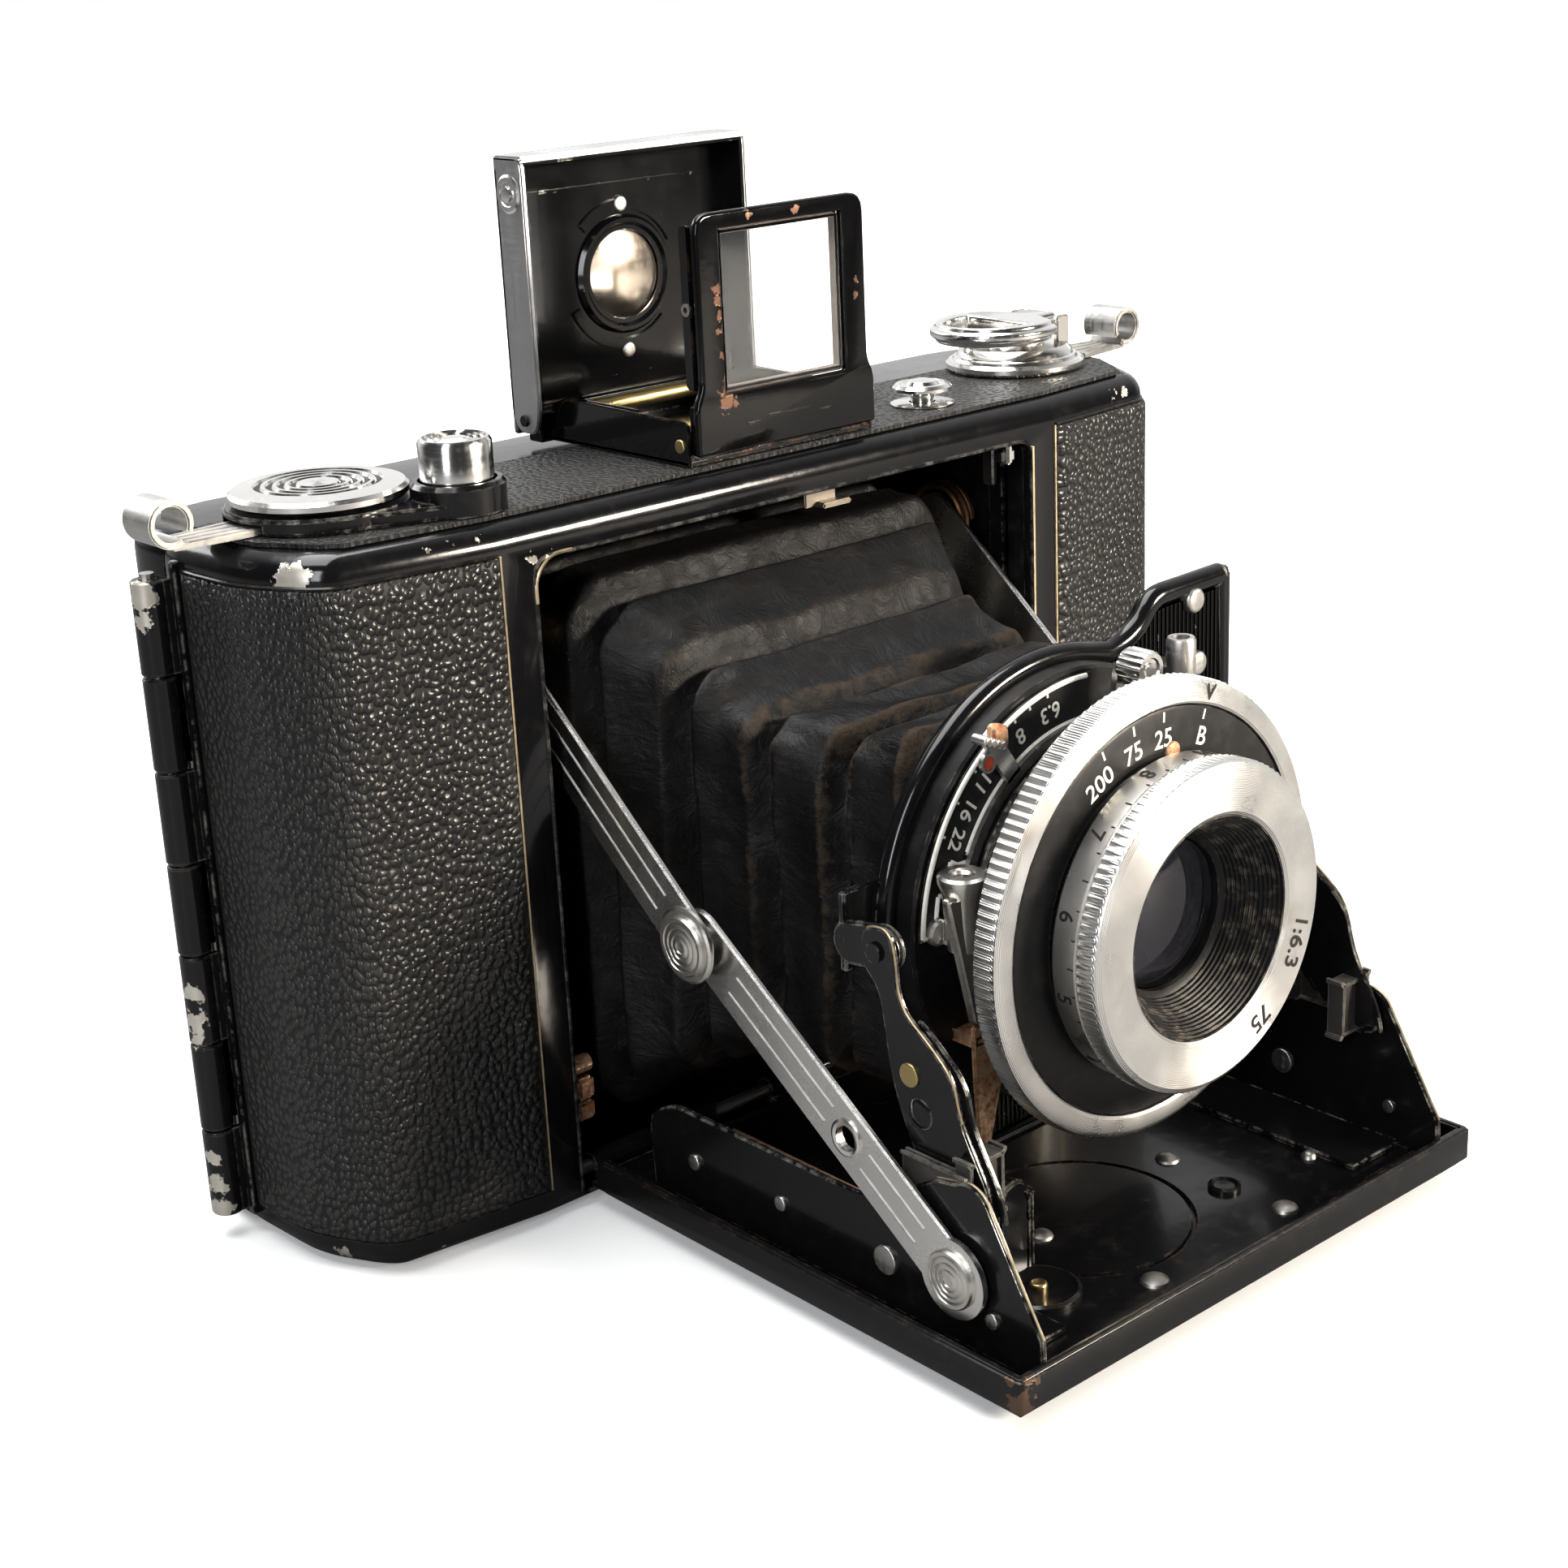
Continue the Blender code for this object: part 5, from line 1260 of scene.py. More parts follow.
def make_bed():
    """The drop bed, its rivets, foot and side brackets."""
    length, half, inside = 70.4, 38.4, 37.5
    low, floor, rim = 2.1, 3.1, 6.3
    plate_centre, pivot_centre = (-5.5, ahead(48)), (-20.6, ahead(56.2))
    outline = filleted([(-half, ahead(0.4)), (-half, ahead(length)), (half, ahead(length)),
                        (half, ahead(0.4))], [0, 0.8, 0.8, 0])
    plate = prism(outline, "Z", low, rim, bevel=0.3, segments=3)
    cut(plate, block((-37.6, 37.6), reach(length - 0.8, -8), (floor, rim + 5), 0))
    cut(plate, block((-50, 50), reach(1.6, -8), (floor, rim + 5), 0))
    groove = turned(rectangle(12.9, 13.6, floor - 0.35, floor + 5), "Z", plate_centre, 64)
    cut(plate, groove)
    piece(softened(plate, 0.15), "bed_tray", "bed", "rim_enamel", ["bed_plate"])
    sheet = prism(rectangle(-inside, inside, ahead(length - 0.9), ahead(1.7)),
                  "Z", floor + 0.01, floor + 0.25)
    cut(sheet, turned(rectangle(12.9, 13.6, 0, 9), "Z", plate_centre, 64))
    piece(sheet, "bed_floor", "bed", "bed_enamel")
    wall = []
    for side in (-1, 1):
        wall.append(block(layer(side, 37.2, 37.55), reach(length - 0.9, 1.8), (floor, rim - 0.15), 0.05))
    wall.append(block((-inside, inside), reach(length - 0.85, length - 1.2), (floor, rim - 0.15), 0.05))
    wall.append(block((20.5, 30.0), reach(length - 0.9, length - 2.2), (floor, rim - 0.6), 0.2))
    piece(wall, "bed_wall_lining", "bed", "bed_enamel")
    barrels = []
    for start, end in ((-37, -26), (-9, 9), (26, 37)):
        barrels.append(turned(rectangle(0.95, 1.5, start, end), "X", BED, 32))
        barrels.append(block((start, end), reach(1.2, -1.2), (2.4, 3.0), 0.08))
    piece(barrels, "bed_barrels", "bed", "enamel")
    repaint("fine_leather", "leather_bed")

    rivets = []
    for x, s, radius in ((12.1, 46.4, 1.5), (12.1, 63.7, 1.6), (-10.3, 63.7, 1.7), (-11.6, 48.2, 1.4),
                         (24, 58, 1.0), (-26, 40, 1.1), (26, 30, 1.2), (-26, 22, 1.2)):
        profile = [(0, floor + 0.2), (radius, floor + 0.2), (radius * 0.9, floor + 0.55),
                   (radius * 0.6, floor + 0.85), (radius * 0.25, floor + 0.98), (0, floor + 1.0)]
        rivets.append(turned(profile, "Z", (x, ahead(s)), 28))
    piece(rivets, "bed_rivets", "bed", "steel")
    boss = turned([(0, floor + 0.2), (1.9, floor + 0.2), (1.9, floor + 0.7), (1.5, floor + 0.9),
                   (1.2, floor + 0.6), (0.7, floor + 0.6), (0, floor + 0.5)], "Z", (11.2, ahead(55.7)),
                  40)
    pivot = turned([(0, floor + 0.2), (4.7, floor + 0.2), (4.7, floor + 0.8), (4.3, floor + 1.05),
                    (3.9, floor + 0.85), (0, floor + 0.85)], "Z", pivot_centre, 56)
    piece([boss, pivot], "bed_discs", "bed", "rim_enamel")
    pin = disc(1.0, floor + 0.8, floor + 1.5, 0.4, "Z", pivot_centre, 24)
    piece(pin, "bed_disc_pivot", "bed", "brass")
    blade = filleted([(-22.4, 3.2), (-18.0, 3.2), (-17.6, 12.6), (-19.0, 15.4), (-22.2, 14.6), (-22.6, 11)],
                     [0, 0, 1.5, 1.5, 1.2, 1.5])
    finger = joined([faceplate(blade, 51.8, 52.6, bevel=0.3, segments=3),
                     block((-18.4, -17.6), reach(49.6, 52.5), (3.2, 13.0), 0.3)])
    piece(finger, "bed_stop_finger", "bed", "enamel")
    bar = block((-24, -20.8), reach(6, 40), (4.2, 5.0), 0.3)
    piece(bar, "bed_lock_bar", "bed", "rust")

    outline = [(-7, ahead(64.9)), (7, ahead(64.9)), (7, ahead(46)), (4, ahead(42)), (-4, ahead(42)),
               (-7, ahead(46))]
    foot = prism(filleted(outline, [0.6, 0.6, 2, 1.5, 1.5, 2]), "Z", 0.0, 1.1, bevel=0.3)
    hole = filleted([(-4, ahead(60)), (4, ahead(60)), (3, ahead(50)), (-3, ahead(50))], 1.5)
    cut(foot, prism(hole, "Z", -2, 3))
    piece(softened(foot, 0.15), "bed_leg", "bed_foot", "nickel", ["bed_foot"])

    for side, name in SIDES:
        line = [(7, 3.4), (6.6, 12.6), (11, 15.2), (44, 15.4), (54.5, 21.4)]
        crest = arc((-ARM.y + FRONT, ARM.z), 3.2, 125, 35, 8)
        outline = filleted(line, [0, 2, 2, 3, 1], closed=False) + crest + [(69.2, 8.4), (69.4, 3.4)]
        plate = prism([(ahead(s), z) for s, z in outline], "X", *layer(side, 33.2, 34.0), bevel=0.18)
        parts = [plate, block(layer(side, 24.5, 33.4), reach(64, 10), (3.4, 4.1), 0.15)]
        parts.append(disc(1.4, *layer(side, 31.5, 33.4), 0.1, "X", ARM, 24))
        parts.append(disc(1.4, *layer(side, 33.8, 35.9), 0.1, "X", BED_RIVET, 24))
        lip = [(side * 33.6, ahead(s), z) for s, z in [(54.5, 21.5)] + crest[2:] + [(69.2, 8.5)]]
        piece(parts, f"bed_side_{name}", "bed", "enamel", [f"bed_bracket_{name}"])
        piece(tube(lip, 0.15, 6), f"bed_side_edge_{name}", "bed", "worn_line")
        clip = [block(layer(side, 28.4, 33.3), reach(57.2, 58.6), (17.6, 24.2), 0.4)]
        clip.append(block(layer(side, 33.1, 33.6), reach(49.6, 58.4), (18.6, 22.6), 0.3))
        piece(clip, f"bed_side_clip_{name}", "bed", "worn_clip")
        heads = []
        for s, z, radius in ((46.8, 9.1, 1.7), (62.5, 8.2, 0.9), (15, 9.2, 1.0), (30, 9.5, 0.9)):
            heads.append(disc(radius, side * 33.9, side * 34.45, 0.2, "X", (ahead(s), z), 32))
            heads.append(disc(radius * 0.9, side * 33.3, side * 32.85, 0.15, "X", (ahead(s), z), 32))
        piece(heads, f"bed_side_rivets_{name}", "bed", "nickel")


def along_link(first, second, share, off):
    """A point beside the line between two pivots, as (Y, Z)."""
    a, b = Vector((first.y, first.z)), Vector((second.y, second.z))
    way = (b - a).normalized()
    spot = a + (b - a) * share + Vector((-way.y, way.x)) * off
    return spot.x, spot.y


def make_braces():
    """The folding struts, which meet at a turned knee rivet."""
    end = Vector((0, ahead(-14.5), 67.3))  # the open pivot on the body
    half_width, line_offset = 3.6, 1.3
    for side, name in SIDES:
        x = layer(side, 34.6, 35.4)
        lower = link(BED_RIVET, KNEE, half_width, *x)
        fuse(lower, disc(4.5, *x, 0.2, "X", BED_RIVET, 48))
        eye = along_link(BED_RIVET, KNEE, 0.4, 0)
        cut(lower, disc(1.5, -50, 50, 0.01, "X", eye, 32))
        piece(lower, f"brace_bar_{name}", "lower_braces", "plate", [f"brace_lower_{name}"])
        bezel = turned([(1.5, side * 35.3), (2.2, side * 35.3), (2.2, side * 35.6), (1.9, side * 35.7),
                        (1.5, side * 35.6)], "X", eye, 40)
        piece(bezel, f"brace_eyelet_{name}", "lower_braces", "chrome")
        lines = []
        for off in (-line_offset, line_offset):
            for start, stop in ((0.12, 0.33), (0.47, 0.86)):
                a = along_link(BED_RIVET, KNEE, start, off)
                b = along_link(BED_RIVET, KNEE, stop, off)
                lines.append(tube([(side * 35.41, *a), (side * 35.41, *b)], 0.14, 6))
        piece(lines, f"brace_lines_{name}", "lower_braces", "nickel")
        cap = [(r, side * w) for r, w in ringed_cap(3.3, 35.3, 0.8, 4)]
        piece(turned(cap, "X", BED_RIVET, 64), f"brace_rivet_{name}", "lower_braces",
              "cap_nickel")

        x = layer(side, 36.1, 36.9)
        upper = link(KNEE, end, half_width, *x)
        piece(upper, f"brace_top_bar_{name}", "upper_braces", "plate", [f"brace_upper_{name}"])
        lines = []
        for off in (-line_offset, line_offset):
            a, b = along_link(KNEE, end, 0.13, off), along_link(KNEE, end, 0.93, off)
            lines.append(tube([(side * 36.91, *a), (side * 36.91, *b)], 0.14, 6))
        piece(lines, f"brace_top_lines_{name}", "upper_braces", "nickel")
        stem = disc(1.4, *layer(side, 34.7, 37.2), 0.1, "X", KNEE, 24)
        washer = turned([(1.0, side * 37.0), (4.4, side * 37.0), (4.4, side * 37.4), (4.1, side * 37.6),
                         (1.0, side * 37.6)], "X", KNEE, 64)
        cap = [(r, side * w) for r, w in ringed_cap(3.5, 37.5, 0.75, 4)]
        head = turned(cap, "X", KNEE, 64)
        piece([stem, washer, head], f"knee_joint_{name}", "lower_braces", "cap_nickel",
              [f"knee_rivet_{name}"])


def make_swing_arms():
    """The side plates that carry the standard: a narrow neck that widens over the bed's clips."""
    face = 32.55
    for side, name in SIDES:
        line = [(43.2, 46.2), (47.2, 46.6), (48.0, 43.6), (48.4, 38.4), (52.8, 35.4), (56.0, 32.6),
                (57.0, 28.0), (60.8, 21.4), (61.6, 17.6), (57.6, 16.6), (50.4, 21.4), (47.0, 29.0),
                (45.4, 39.5), (42.6, 42.0)]
        radii = [2, 1.6, 2, 3, 2, 3, 4, 3, 2, 2, 3, 4, 4, 2]
        outline = [(ahead(s), z) for s, z in filleted(line, radii)]
        plates = [prism(outline, "X", *layer(side, 31.9, 32.6), bevel=0.2)]
        under = [(ahead(s + 1.0), z - 0.4) for s, z in filleted(line[3:9], radii[3:9])]
        under += [(ahead(s + 1.5), z) for s, z in filleted(line[9:12], radii[9:12])]
        plates.append(prism(under, "X", *layer(side, 31.25, 31.8), bevel=0.15))
        piece(plates, f"side_plate_{name}", "swing_arms", "enamel", [f"swing_arm_{name}"])
        edge = [(side * 32.5, y, z) for y, z in outline[4:46]]
        piece(tube(edge, 0.13, 6), f"side_plate_edge_{name}", "swing_arms", "worn_line")
        rivet = disc(1.35, side * face, side * 32.9, 0.15, "X", (ahead(49.8), 31.2), 36)
        piece(rivet, f"side_plate_rivet_{name}", "swing_arms", "brass")
        dome = [(0, side * face), (1.8, side * face), (1.4, side * 32.8), (0.8, side * 32.86),
                (0, side * 32.9)]
        piece(turned(dome, "X", (ahead(51.2), 27.2), 36), f"side_plate_dimple_{name}", "swing_arms",
              "enamel")


# ---------------------------------------------------------------- standard, shutter and lens


def standard_outline():
    lug = filleted([(28.0, 47), (30.7, 52), (30.7, 71.4), (16.8, 71.0), (13.6, 67.2), (9.8, 66.2)],
                   [3, 4, 1.6, 3, 3, 3], closed=False)
    crown = arc((0, LENS_Z), 26.8, 76, 186, 40)
    lower = [(-24.6, 29), (-21.0, 22), (-17.6, 10.4), (17.6, 10.4), (21.0, 22), (24.6, 29), (27.4, 40)]
    return lug + crown + filleted(lower, [3, 3, 2, 2, 3, 3, 3], closed=False)


def make_standard():
    """The lens board with its ribbed lug, and the shutter case on it."""
    outline = standard_outline()
    rim = inset(outline, 1.3)
    plate = faceplate(inset(outline, 0.9), 38.0, 38.9)
    bar = tube([(x, ahead(39.05), z) for x, z in rim], 1.3, 16, closed=True)
    cut(plate, turned_ahead(rectangle(0, 13.2, 30, 44), 64))
    parts = [plate, bar]
    for side in (-1, 1):
        ear = link(STANDARD, (ahead(39.5), STANDARD.z - 1.0), 2.5, *layer(side, 30.3, 31.2), 0.3)
        tie = block(layer(side, 24, 31.1), reach(39.0, 38.0), (39.0, 48.0), 0.2)
        pin = disc(1.1, *layer(side, 30.8, 33.0), 0.3, "X", STANDARD, 32)
        parts += [ear, tie, pin]
    piece(parts, "lens_board", "standard", "enamel", ["standard_plate"])

    ribs = []
    pitch, count = 0.72, 84
    for i in range(count + 1):
        x = -30.2 + pitch * i
        spans = crossings(outline, x)
        if len(spans) < 2:
            continue
        low, high = spans[0] + 2.6, spans[-1] - 2.8
        hole = 25.0
        if abs(x) < hole:
            half = math.sqrt(hole * hole - x * x)
            pairs = [(low, LENS_Z - half), (LENS_Z + half, high)]
        else:
            pairs = [(low, high)]
        for start, end in pairs:
            if end - start > 1.0:
                ribs.append(block((x - 0.17, x + 0.17), reach(38.8, 39.75), (start, end), 0.06))
    piece(ribs, "lens_board_ribs", "standard", "liner_enamel")

    rivets = [disc_ahead(1.5, 39.3, 40.6, 0.5, 40, centre) for centre in ((23.8, 68.2), (24.3, 60.6))]
    piece(rivets, "lens_board_rivets", "standard", "nickel")
    post = turned([(1.0, 61.4), (1.6, 61.4), (1.7, 61.8), (1.7, 65.8), (1.5, 66.2), (1.0, 66.2)], "Z",
                  (16.6, ahead(44.2)), 40)
    arm = block((15.4, 19.0), reach(39.5, 43.6), (61.6, 62.6), 0.2)
    piece([post, arm], "release_link", "standard", "nickel")

    case = [(12.6, 39.5), (24.6, 39.5), (24.9, 39.8), (24.9, 42.4), (24.6, 42.7), (18.0, 42.7)]
    for i in range(9):
        place = 43.2 + i * 0.9
        case += [(18.0, place), (17.65, place + 0.15), (17.65, place + 0.35), (18.0, place + 0.5)]
    case += [(18.0, 51.8), (12.6, 51.8)]
    piece(turned_ahead(case), "shutter_body", "standard", "black", ["shutter_case"])

    make_aperture_scale()
    make_levers()
    make_dial()
    make_lens()


def inset(outline, distance):
    """The outline moved inwards, for outlines that run anticlockwise."""
    made = []
    for i, point in enumerate(outline):
        before, after = Vector(outline[i - 1]), Vector(outline[(i + 1) % len(outline)])
        way = (after - before).normalized()
        made.append((point[0] - way.y * distance, point[1] + way.x * distance))
    return made


def crossings(outline, x):
    """Heights at which a vertical line crosses an outline."""
    found = []
    for (x0, z0), (x1, z1) in zip(outline, outline[1:] + outline[:1]):
        if (x0 < x) != (x1 < x):
            found.append(z0 + (z1 - z0) * (x - x0) / (x1 - x0))
    return sorted(found)


def make_aperture_scale():
    """The curved scale: white lines, ticks and aperture numbers on a black plate."""
    centre = (0, LENS_Z)
    sector = arc(centre, 24.3, 84, 179, 60) + arc(centre, 21.9, 179, 165, 8)
    sector += arc(centre, 18.9, 163, 84, 50)
    plate = faceplate(sector, 42.9, 43.4, bevel=0.08)
    piece(plate, "aperture_plate", "standard", "black", ["aperture_scale"])
    lines = []
    for radius, start, end in ((24.05, 86, 178), (19.3, 86, 153), (18.6, 86, 151), (21.4, 157, 165),
                               (22.2, 167, 178)):
        lines.append(arc(centre, radius, start, end, 60))
    lines.append([lines[1][-1], arc(centre, 18.2, 155, 155, 1)[0], arc(centre, 20.2, 157.5, 157.5, 1)[0],
                  lines[3][0]])
    lines.append([lines[0][-1], lines[4][-1]])
    lines.append([lines[4][0], arc(centre, 19.0, 166, 166, 1)[0], arc(centre, 19.0, 161, 161, 1)[0]])
    bars = [tube([(x, ahead(43.4), z) for x, z in line], 0.3, 8) for line in lines]
    for angle in (101, 108, 114, 121, 132, 141.5, 151):
        bars.append(spoke(angle, 23.3, 24.0, 0.3, 43.35, 43.47))
    for text, angle in (("6.3", 101), ("8", 114), ("11", 132.5), ("16", 141.5), ("22", 150.5)):
        bars.append(around_lens(text, angle, 21.6, 43.45, 2.6, inward=True))
    piece(bars, "aperture_marks", "standard", "white")
    screw = turned_ahead([(0, 43.4), (1.5, 43.4), (1.5, 44.0), (1.2, 44.3), (0, 44.35)], 40,
                         centre=(-22.2, LENS_Z + 1.2))
    cut(screw, block((-22.45, -21.95), reach(45, 44.05), (LENS_Z - 2, LENS_Z + 4), 0))
    piece(screw, "aperture_screw", "standard", "nickel")


def make_levers():
    """Cable socket, aperture pointer, release lever and the rusty spring below."""
    x, z, s = -20.8, 47.6, 46.2
    cone = [(1.45, z + 1.6)]
    for i in range(5):
        cone += [(1.45, z + 1.3 - 0.9 * i), (1.15, z + 1.0 - 0.9 * i)]
    cone += [(0, z - 4.2), (0, z - 7.0), (1.7, z - 7.0), (1.9, z - 5.0), (2.2, z - 0.6), (2.7, z + 0.6),
             (2.7, z + 1.3), (2.4, z + 1.6)]
    socket = turned(cone, "Z", (x, ahead(s)), 48)
    wing = prism(filleted([(-24.4, 47.4), (-18.2, 46.6), (-16.6, 34.2), (-17.6, 31.2), (-20.6, 31.6)], 0.9),
                 "Y", ahead(47.6), ahead(46.4), bevel=0.3)
    stem = block((-21.9, -19.7), reach(40.2, 46.4), (41.4, 43.6), 0.3)
    piece([socket, wing, stem], "release_socket", "standard", "cap_nickel", ["cable_socket"])

    turn = math.radians(124)
    tip = (25.4 * math.cos(turn), LENS_Z + 25.4 * math.sin(turn))
    hub = turned_ahead(rectangle(18.2, 19.4, 43.7, 44.3), 96)
    arm = spoke(124, 19.0, 26.0, 2.2, 43.7, 44.3)
    crimps = [hub, arm]
    for i in range(4):
        spot = (tip[0] - 2.0 + i * 0.75, tip[1] + 0.3 - i * 0.3)
        crimps.append(disc_ahead(0.55, 43.9, 46.0, 0.3, 16, centre=spot))
    piece(crimps, "aperture_pointer", "aperture_lever", "nickel", ["aperture_lever"])
    heart = filleted([(tip[0] - 0.9, tip[1] + 1.9), (tip[0] + 1.7, tip[1] + 1.2),
                      (tip[0] + 1.6, tip[1] - 1.6), (tip[0] - 0.9, tip[1] - 0.6)], 1.0)
    piece(faceplate(heart, 44.3, 45.6, bevel=0.35, segments=3), "aperture_pointer_head", "aperture_lever",
          "rust")
    dot = (23.7 * math.cos(math.radians(129)), LENS_Z + 23.7 * math.sin(math.radians(129)))
    bezel = turned_ahead(rectangle(0.75, 1.1, 44.2, 44.75), 24, centre=dot)
    piece(bezel, "aperture_index_ring", "aperture_lever", "nickel")
    piece(disc_ahead(0.8, 44.2, 44.6, 0.15, 24, centre=dot), "aperture_index", "aperture_lever",
          "red_fill")

    turn = math.radians(80)
    tip = (25.6 * math.cos(turn), LENS_Z + 25.6 * math.sin(turn))
    hub = turned_ahead(rectangle(18.2, 19.4, 46.0, 46.8), 96)
    arm = spoke(80, 18.8, 25.8, 2.6, 46.0, 46.8)
    neck = disc_ahead(1.3, 46.4, 47.4, 0.1, 24, centre=tip)
    knob = [(0, 47.0), (2.0, 47.0), (2.15, 47.2), (2.15, 50.0), (1.95, 50.3), (1.4, 50.3), (1.25, 50.05),
            (0.9, 50.05), (0.8, 50.3), (0, 50.3)]
    knob = turned_ahead(knob, 40, teeth=(2, 3, 0.22), centre=tip)
    piece([hub, arm, neck, knob], "cocking_lever", "release_lever", "chrome", ["release_lever"])

    strip = prism(filleted([(-19.6, 31.0), (-14.6, 30.0), (-15.0, 24.5), (-17.4, 15.4), (-18.8, 15.6),
                            (-19.4, 24.0)], 0.6), "Y", ahead(45.6), ahead(46.2), bevel=0.15)
    stay = block((-19.2, -15.2), reach(40.0, 46.0), (28.6, 29.6), 0.2)
    piece([strip, stay], "shutter_tail", "standard", "rust")


def make_dial():
    """The toothed speed ring round a black dial with speeds."""
    ring = [(18.2, 52.2), (25.5, 52.2), (25.8, 52.5), (25.8, 54.7), (25.5, 55.1), (24.9, 55.5),
            (23.3, 55.6), (23.0, 55.4), (23.0, 53.0), (18.2, 53.0)]
    piece(turned_ahead(ring, 296, teeth=(2, 3, 0.42)), "speed_wheel", "speed_ring",
          "aluminium", ["speed_ring"])
    mark = around_lens("V", 71, 24.3, 55.6, 2.5)
    piece(mark, "speed_index", "speed_ring", "black_fill_and_groove_shade")
    dial = [(17.2, 53.4), (22.7, 53.4), (22.8, 55.2), (22.5, 55.35), (17.6, 55.35), (17.2, 55.1)]
    piece(turned_ahead(dial), "speed_plate", "standard", "black", ["speed_dial"])
    marks = []
    for text, angle in (("200", 119), ("75", 102.5), ("25", 88.5), ("B", 70)):
        marks.append(around_lens(text, angle, 19.5, 55.37, 2.9))
    for angle in (114, 101, 88.5, 71):
        marks.append(spoke(angle, 21.4, 22.5, 0.28, 55.3, 55.4))
    piece(marks, "speed_marks", "standard", "white")
    slot = disc_ahead(1.1, 55.3, 55.7, 0.2, 24, centre=arc((0, LENS_Z), 18.0, 84, 84, 1)[0])
    piece(slot, "speed_screw", "standard", "rust")


def make_lens():
    """The focusing cell with its scale, the ribbed cone, and the glass and iris behind."""
    cell = [(12.2, 52.4), (16.4, 52.4), (16.6, 56.0), (17.9, 56.2), (18.1, 56.4), (18.1, 59.3),
            (17.9, 59.4), (17.9, 59.7), (18.2, 59.9), (18.5, 60.0), (18.5, 62.0), (18.2, 62.4),
            (17.6, 62.8), (12.9, 62.8), (12.5, 62.5)]
    piece(turned_ahead(cell, 224, teeth=(9, 10, 0.24)), "focus_mount", "focus", "aluminium",
          ["focus_ring"])
    marks = [around_lens("1:6.3", -22, 15.3, 62.83, 3.2), around_lens("75", -58, 15.3, 62.83, 3.2)]
    distances = ("3.5", "4", "5", "6", "7", "8", "10", "12", "15", "20", "30", "60")
    for index, text in enumerate(distances):
        marks.append(on_barrel(text, 250 - 29 * index, 18.12, 57.6, 2.6))
    piece(marks, "focus_figures", "focus", "black_fill_and_groove_shade")
    ticks = []
    for i in range(36):
        turn = math.radians(i * 10)
        x, z = 18.1 * math.cos(turn), LENS_Z + 18.1 * math.sin(turn)
        long = 1.6 if i % 3 == 0 else 0.9
        ticks.append(tube([(x, ahead(59.3), z), (x, ahead(59.3 - long / 2), z)], 0.1, 5))
    piece(ticks, "focus_ticks", "focus", "black_fill_and_groove_shade")

    cone = [(8.6, 55.4), (12.7, 55.4), (12.7, 62.4), (12.3, 62.5)]
    steps = 13
    for i in range(steps):
        outer = 12.3 - 3.3 * i / steps
        inner = 12.3 - 3.3 * (i + 1) / steps
        place = 62.4 - 5.6 * i / steps
        following = 62.4 - 5.6 * (i + 1) / steps
        cone += [(outer, place), (outer - 0.02, following + 0.12), (inner + 0.06, following)]
    cone += [(8.8, 56.6), (8.6, 56.4)]
    piece(turned_ahead(cone, 96), "lens_hood_cone", "focus", "black", ["lens_cone"])
    front = [(0, 53.2), (8.4, 53.2), (8.4, 55.6)]
    for i in range(1, 9):
        radius = 8.4 * (1 - i / 8)
        front.append((radius, 55.6 + 1.5 * (1 - (radius / 8.4) ** 2)))
    piece(turned_ahead(front, 72), "front_element", "focus", "shade_darkened_lens_glass", ["front_glass"])
    ring = turned_ahead([(6.2, 52.0), (12.1, 52.0), (12.1, 52.3), (8.7, 52.6), (6.6, 52.4)], 72)
    piece(ring, "inner_cell", "standard", "black")
    blades = []
    for i in range(6):
        turn = 60 * i
        corner = arc((0, LENS_Z), 4.0, turn, turn + 60, 1)
        far = arc((0, LENS_Z), 12.2, turn + 75, turn - 10, 10)
        blades.append(faceplate(corner + far, 50.2 + 0.06 * i, 50.3 + 0.06 * i))
    piece(blades, "iris_blades", "standard", "iris")
    inner = turned_ahead([(0, 47.0), (6.5, 47.0), (6.5, 48.2), (4, 48.9), (2, 49.2), (0, 49.3)], 48)
    piece(inner, "middle_element", "standard", "shade_darkened_lens_glass")
    back = turned_ahead(rectangle(0, 12.4, 42.4, 42.8), 48)
    piece(back, "shutter_leaves", "standard", "deep_black")


# ---------------------------------------------------------------- stage


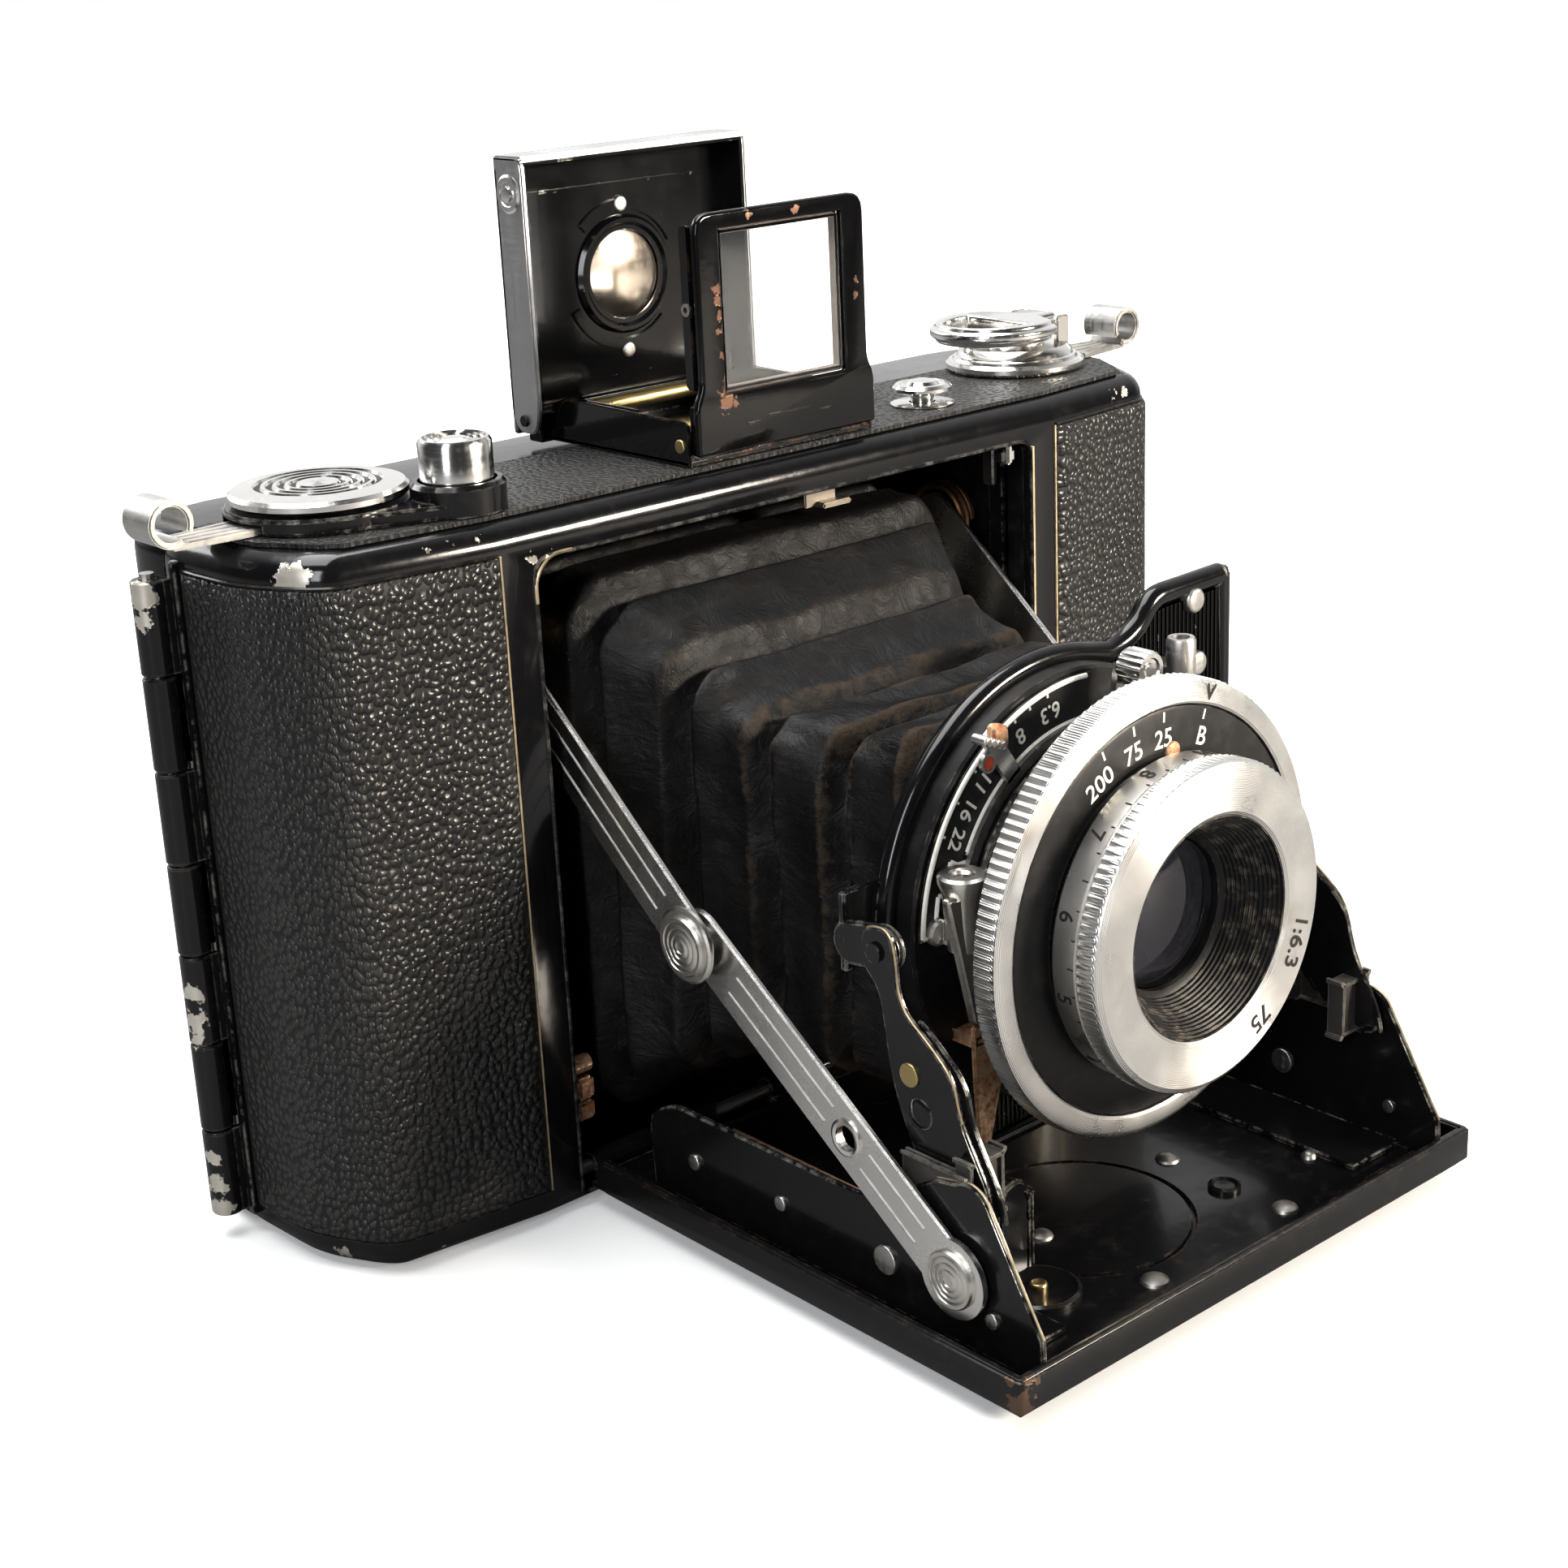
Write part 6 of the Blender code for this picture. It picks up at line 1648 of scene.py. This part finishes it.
def make_stage():
    """A white paper floor, four soft lights and a room that shows only in reflections."""
    half = 3.0
    mesh = bpy.data.meshes.new("floor")
    below = -0.0002
    mesh.from_pydata([(x, y, below) for x, y in rectangle(-half, half, -half, half)], [], [(0, 1, 2, 3)])
    floor = shown("floor", mesh)
    paper = Paint("paper", (0.86, 0.86, 0.86), 0.6, specular_ior_level=0.1)
    away = paper.node("VectorMath", {0: paper.place}, operation="LENGTH").outputs["Value"]
    rays = paper.node("LightPath").outputs
    seen = paper.most(rays["Is Camera Ray"], rays["Is Transmission Ray"])
    paper.set("Base Color", paper.mix(seen, (0.24, 0.24, 0.24), (0.88, 0.88, 0.88)))
    paper.set("Emission Color", (1.0, 1.0, 1.0, 1.0))
    paper.set("Emission Strength", paper.times(seen, paper.span(away, 0.1, 0.5, 0.22, 1.0)))
    floor.data.materials.append(paper.made)

    def soft_light(name, place, target, size, power, colour=(1, 1, 1)):
        lamp = bpy.data.lights.new(name, "AREA")
        lamp.shape = "RECTANGLE"
        lamp.size, lamp.size_y = size
        lamp.energy = power
        lamp.color = colour
        holder = shown(name, lamp)
        holder.location = place
        holder.rotation_euler = (Vector(target) - Vector(place)).to_track_quat("-Z", "Y").to_euler()

    middle = (0, -0.03, 0.05)
    soft_light("overhead", (-0.1, 0.15, 0.9), middle, (0.9, 0.6), 13.0)
    soft_light("front_right", (0.4, -0.72, 0.3), (-0.055, -0.02, 0.045), (0.22, 0.16), 13.5,
               (1.0, 0.91, 0.79))
    soft_light("left_window", (-0.9, -0.45, 0.45), middle, (0.22, 0.7), 5.5, (0.95, 0.97, 1.0))
    soft_light("behind", (-0.2, 0.9, 0.5), middle, (0.5, 0.3), 3.0)

    world = bpy.data.worlds.new("studio")
    bpy.context.scene.world = world
    world.use_nodes = True
    sky = Nodes(world.node_tree)
    place = sky.node("TexCoord").outputs["Generated"]
    facing = sky.node("VectorMath", {0: place, 1: (0.3, 0.38, 0.16)},
                      operation="DOT_PRODUCT").outputs["Value"]
    ramp = sky.node("ValToRGB", {"Fac": sky.plus(facing, 0.5)})
    stops = ramp.color_ramp.elements
    for stop, (position, grey) in zip(stops, ((0.3, 0.05), (1.0, 1.0))):
        stop.position, stop.color = position, (grey, grey, grey, 1)
    for position, grey in ((0.6, 0.06), (0.82, 0.8)):
        stops.new(position).color = (grey, grey, grey, 1)
    room = sky.nodes["Background"]
    sky.feed(room.inputs["Color"], ramp.outputs["Color"])
    sky.feed(room.inputs["Strength"], 1.0)
    white = sky.node("Background", {"Color": (1, 1, 1, 1), "Strength": 1.0})
    rays = sky.node("LightPath").outputs
    seen = sky.most(rays["Is Camera Ray"], rays["Is Transmission Ray"])
    mix = sky.node("MixShader", {0: seen, 1: room.outputs[0], 2: white.outputs[0]})
    sky.feed(sky.nodes["World Output"].inputs["Surface"], mix.outputs[0])
    bpy.context.scene.view_settings.view_transform = "Standard"
    bpy.context.scene.view_settings.gamma = 0.88


def make_camera():
    """A camera to the left of the lens and above it, tilted a little to one side."""
    place = Vector((-197.0, -243.2, 146.2)) * MM
    azimuth, down, roll = math.radians(40.7), math.radians(19.1), math.radians(2.7)
    forward = Vector((math.sin(azimuth) * math.cos(down), math.cos(azimuth) * math.cos(down),
                      -math.sin(down)))
    level = Vector((math.cos(azimuth), -math.sin(azimuth), 0))
    upright = level.cross(forward)
    right = level * math.cos(roll) - upright * math.sin(roll)
    up = upright * math.cos(roll) + level * math.sin(roll)
    lens = bpy.data.cameras.new("camera")
    lens.sensor_width = 36
    lens.lens = 58.62
    camera = shown("camera", lens)
    columns = Matrix((right, up, -forward)).transposed().to_4x4()
    camera.matrix_world = Matrix.Translation(place) @ columns
    bpy.context.scene.camera = camera


make_camera()
make_body()
make_hinge()
make_inside()
make_bellows()
make_back()
make_top()
make_finder()
make_bed()
make_braces()
make_swing_arms()
make_standard()
make_stage()
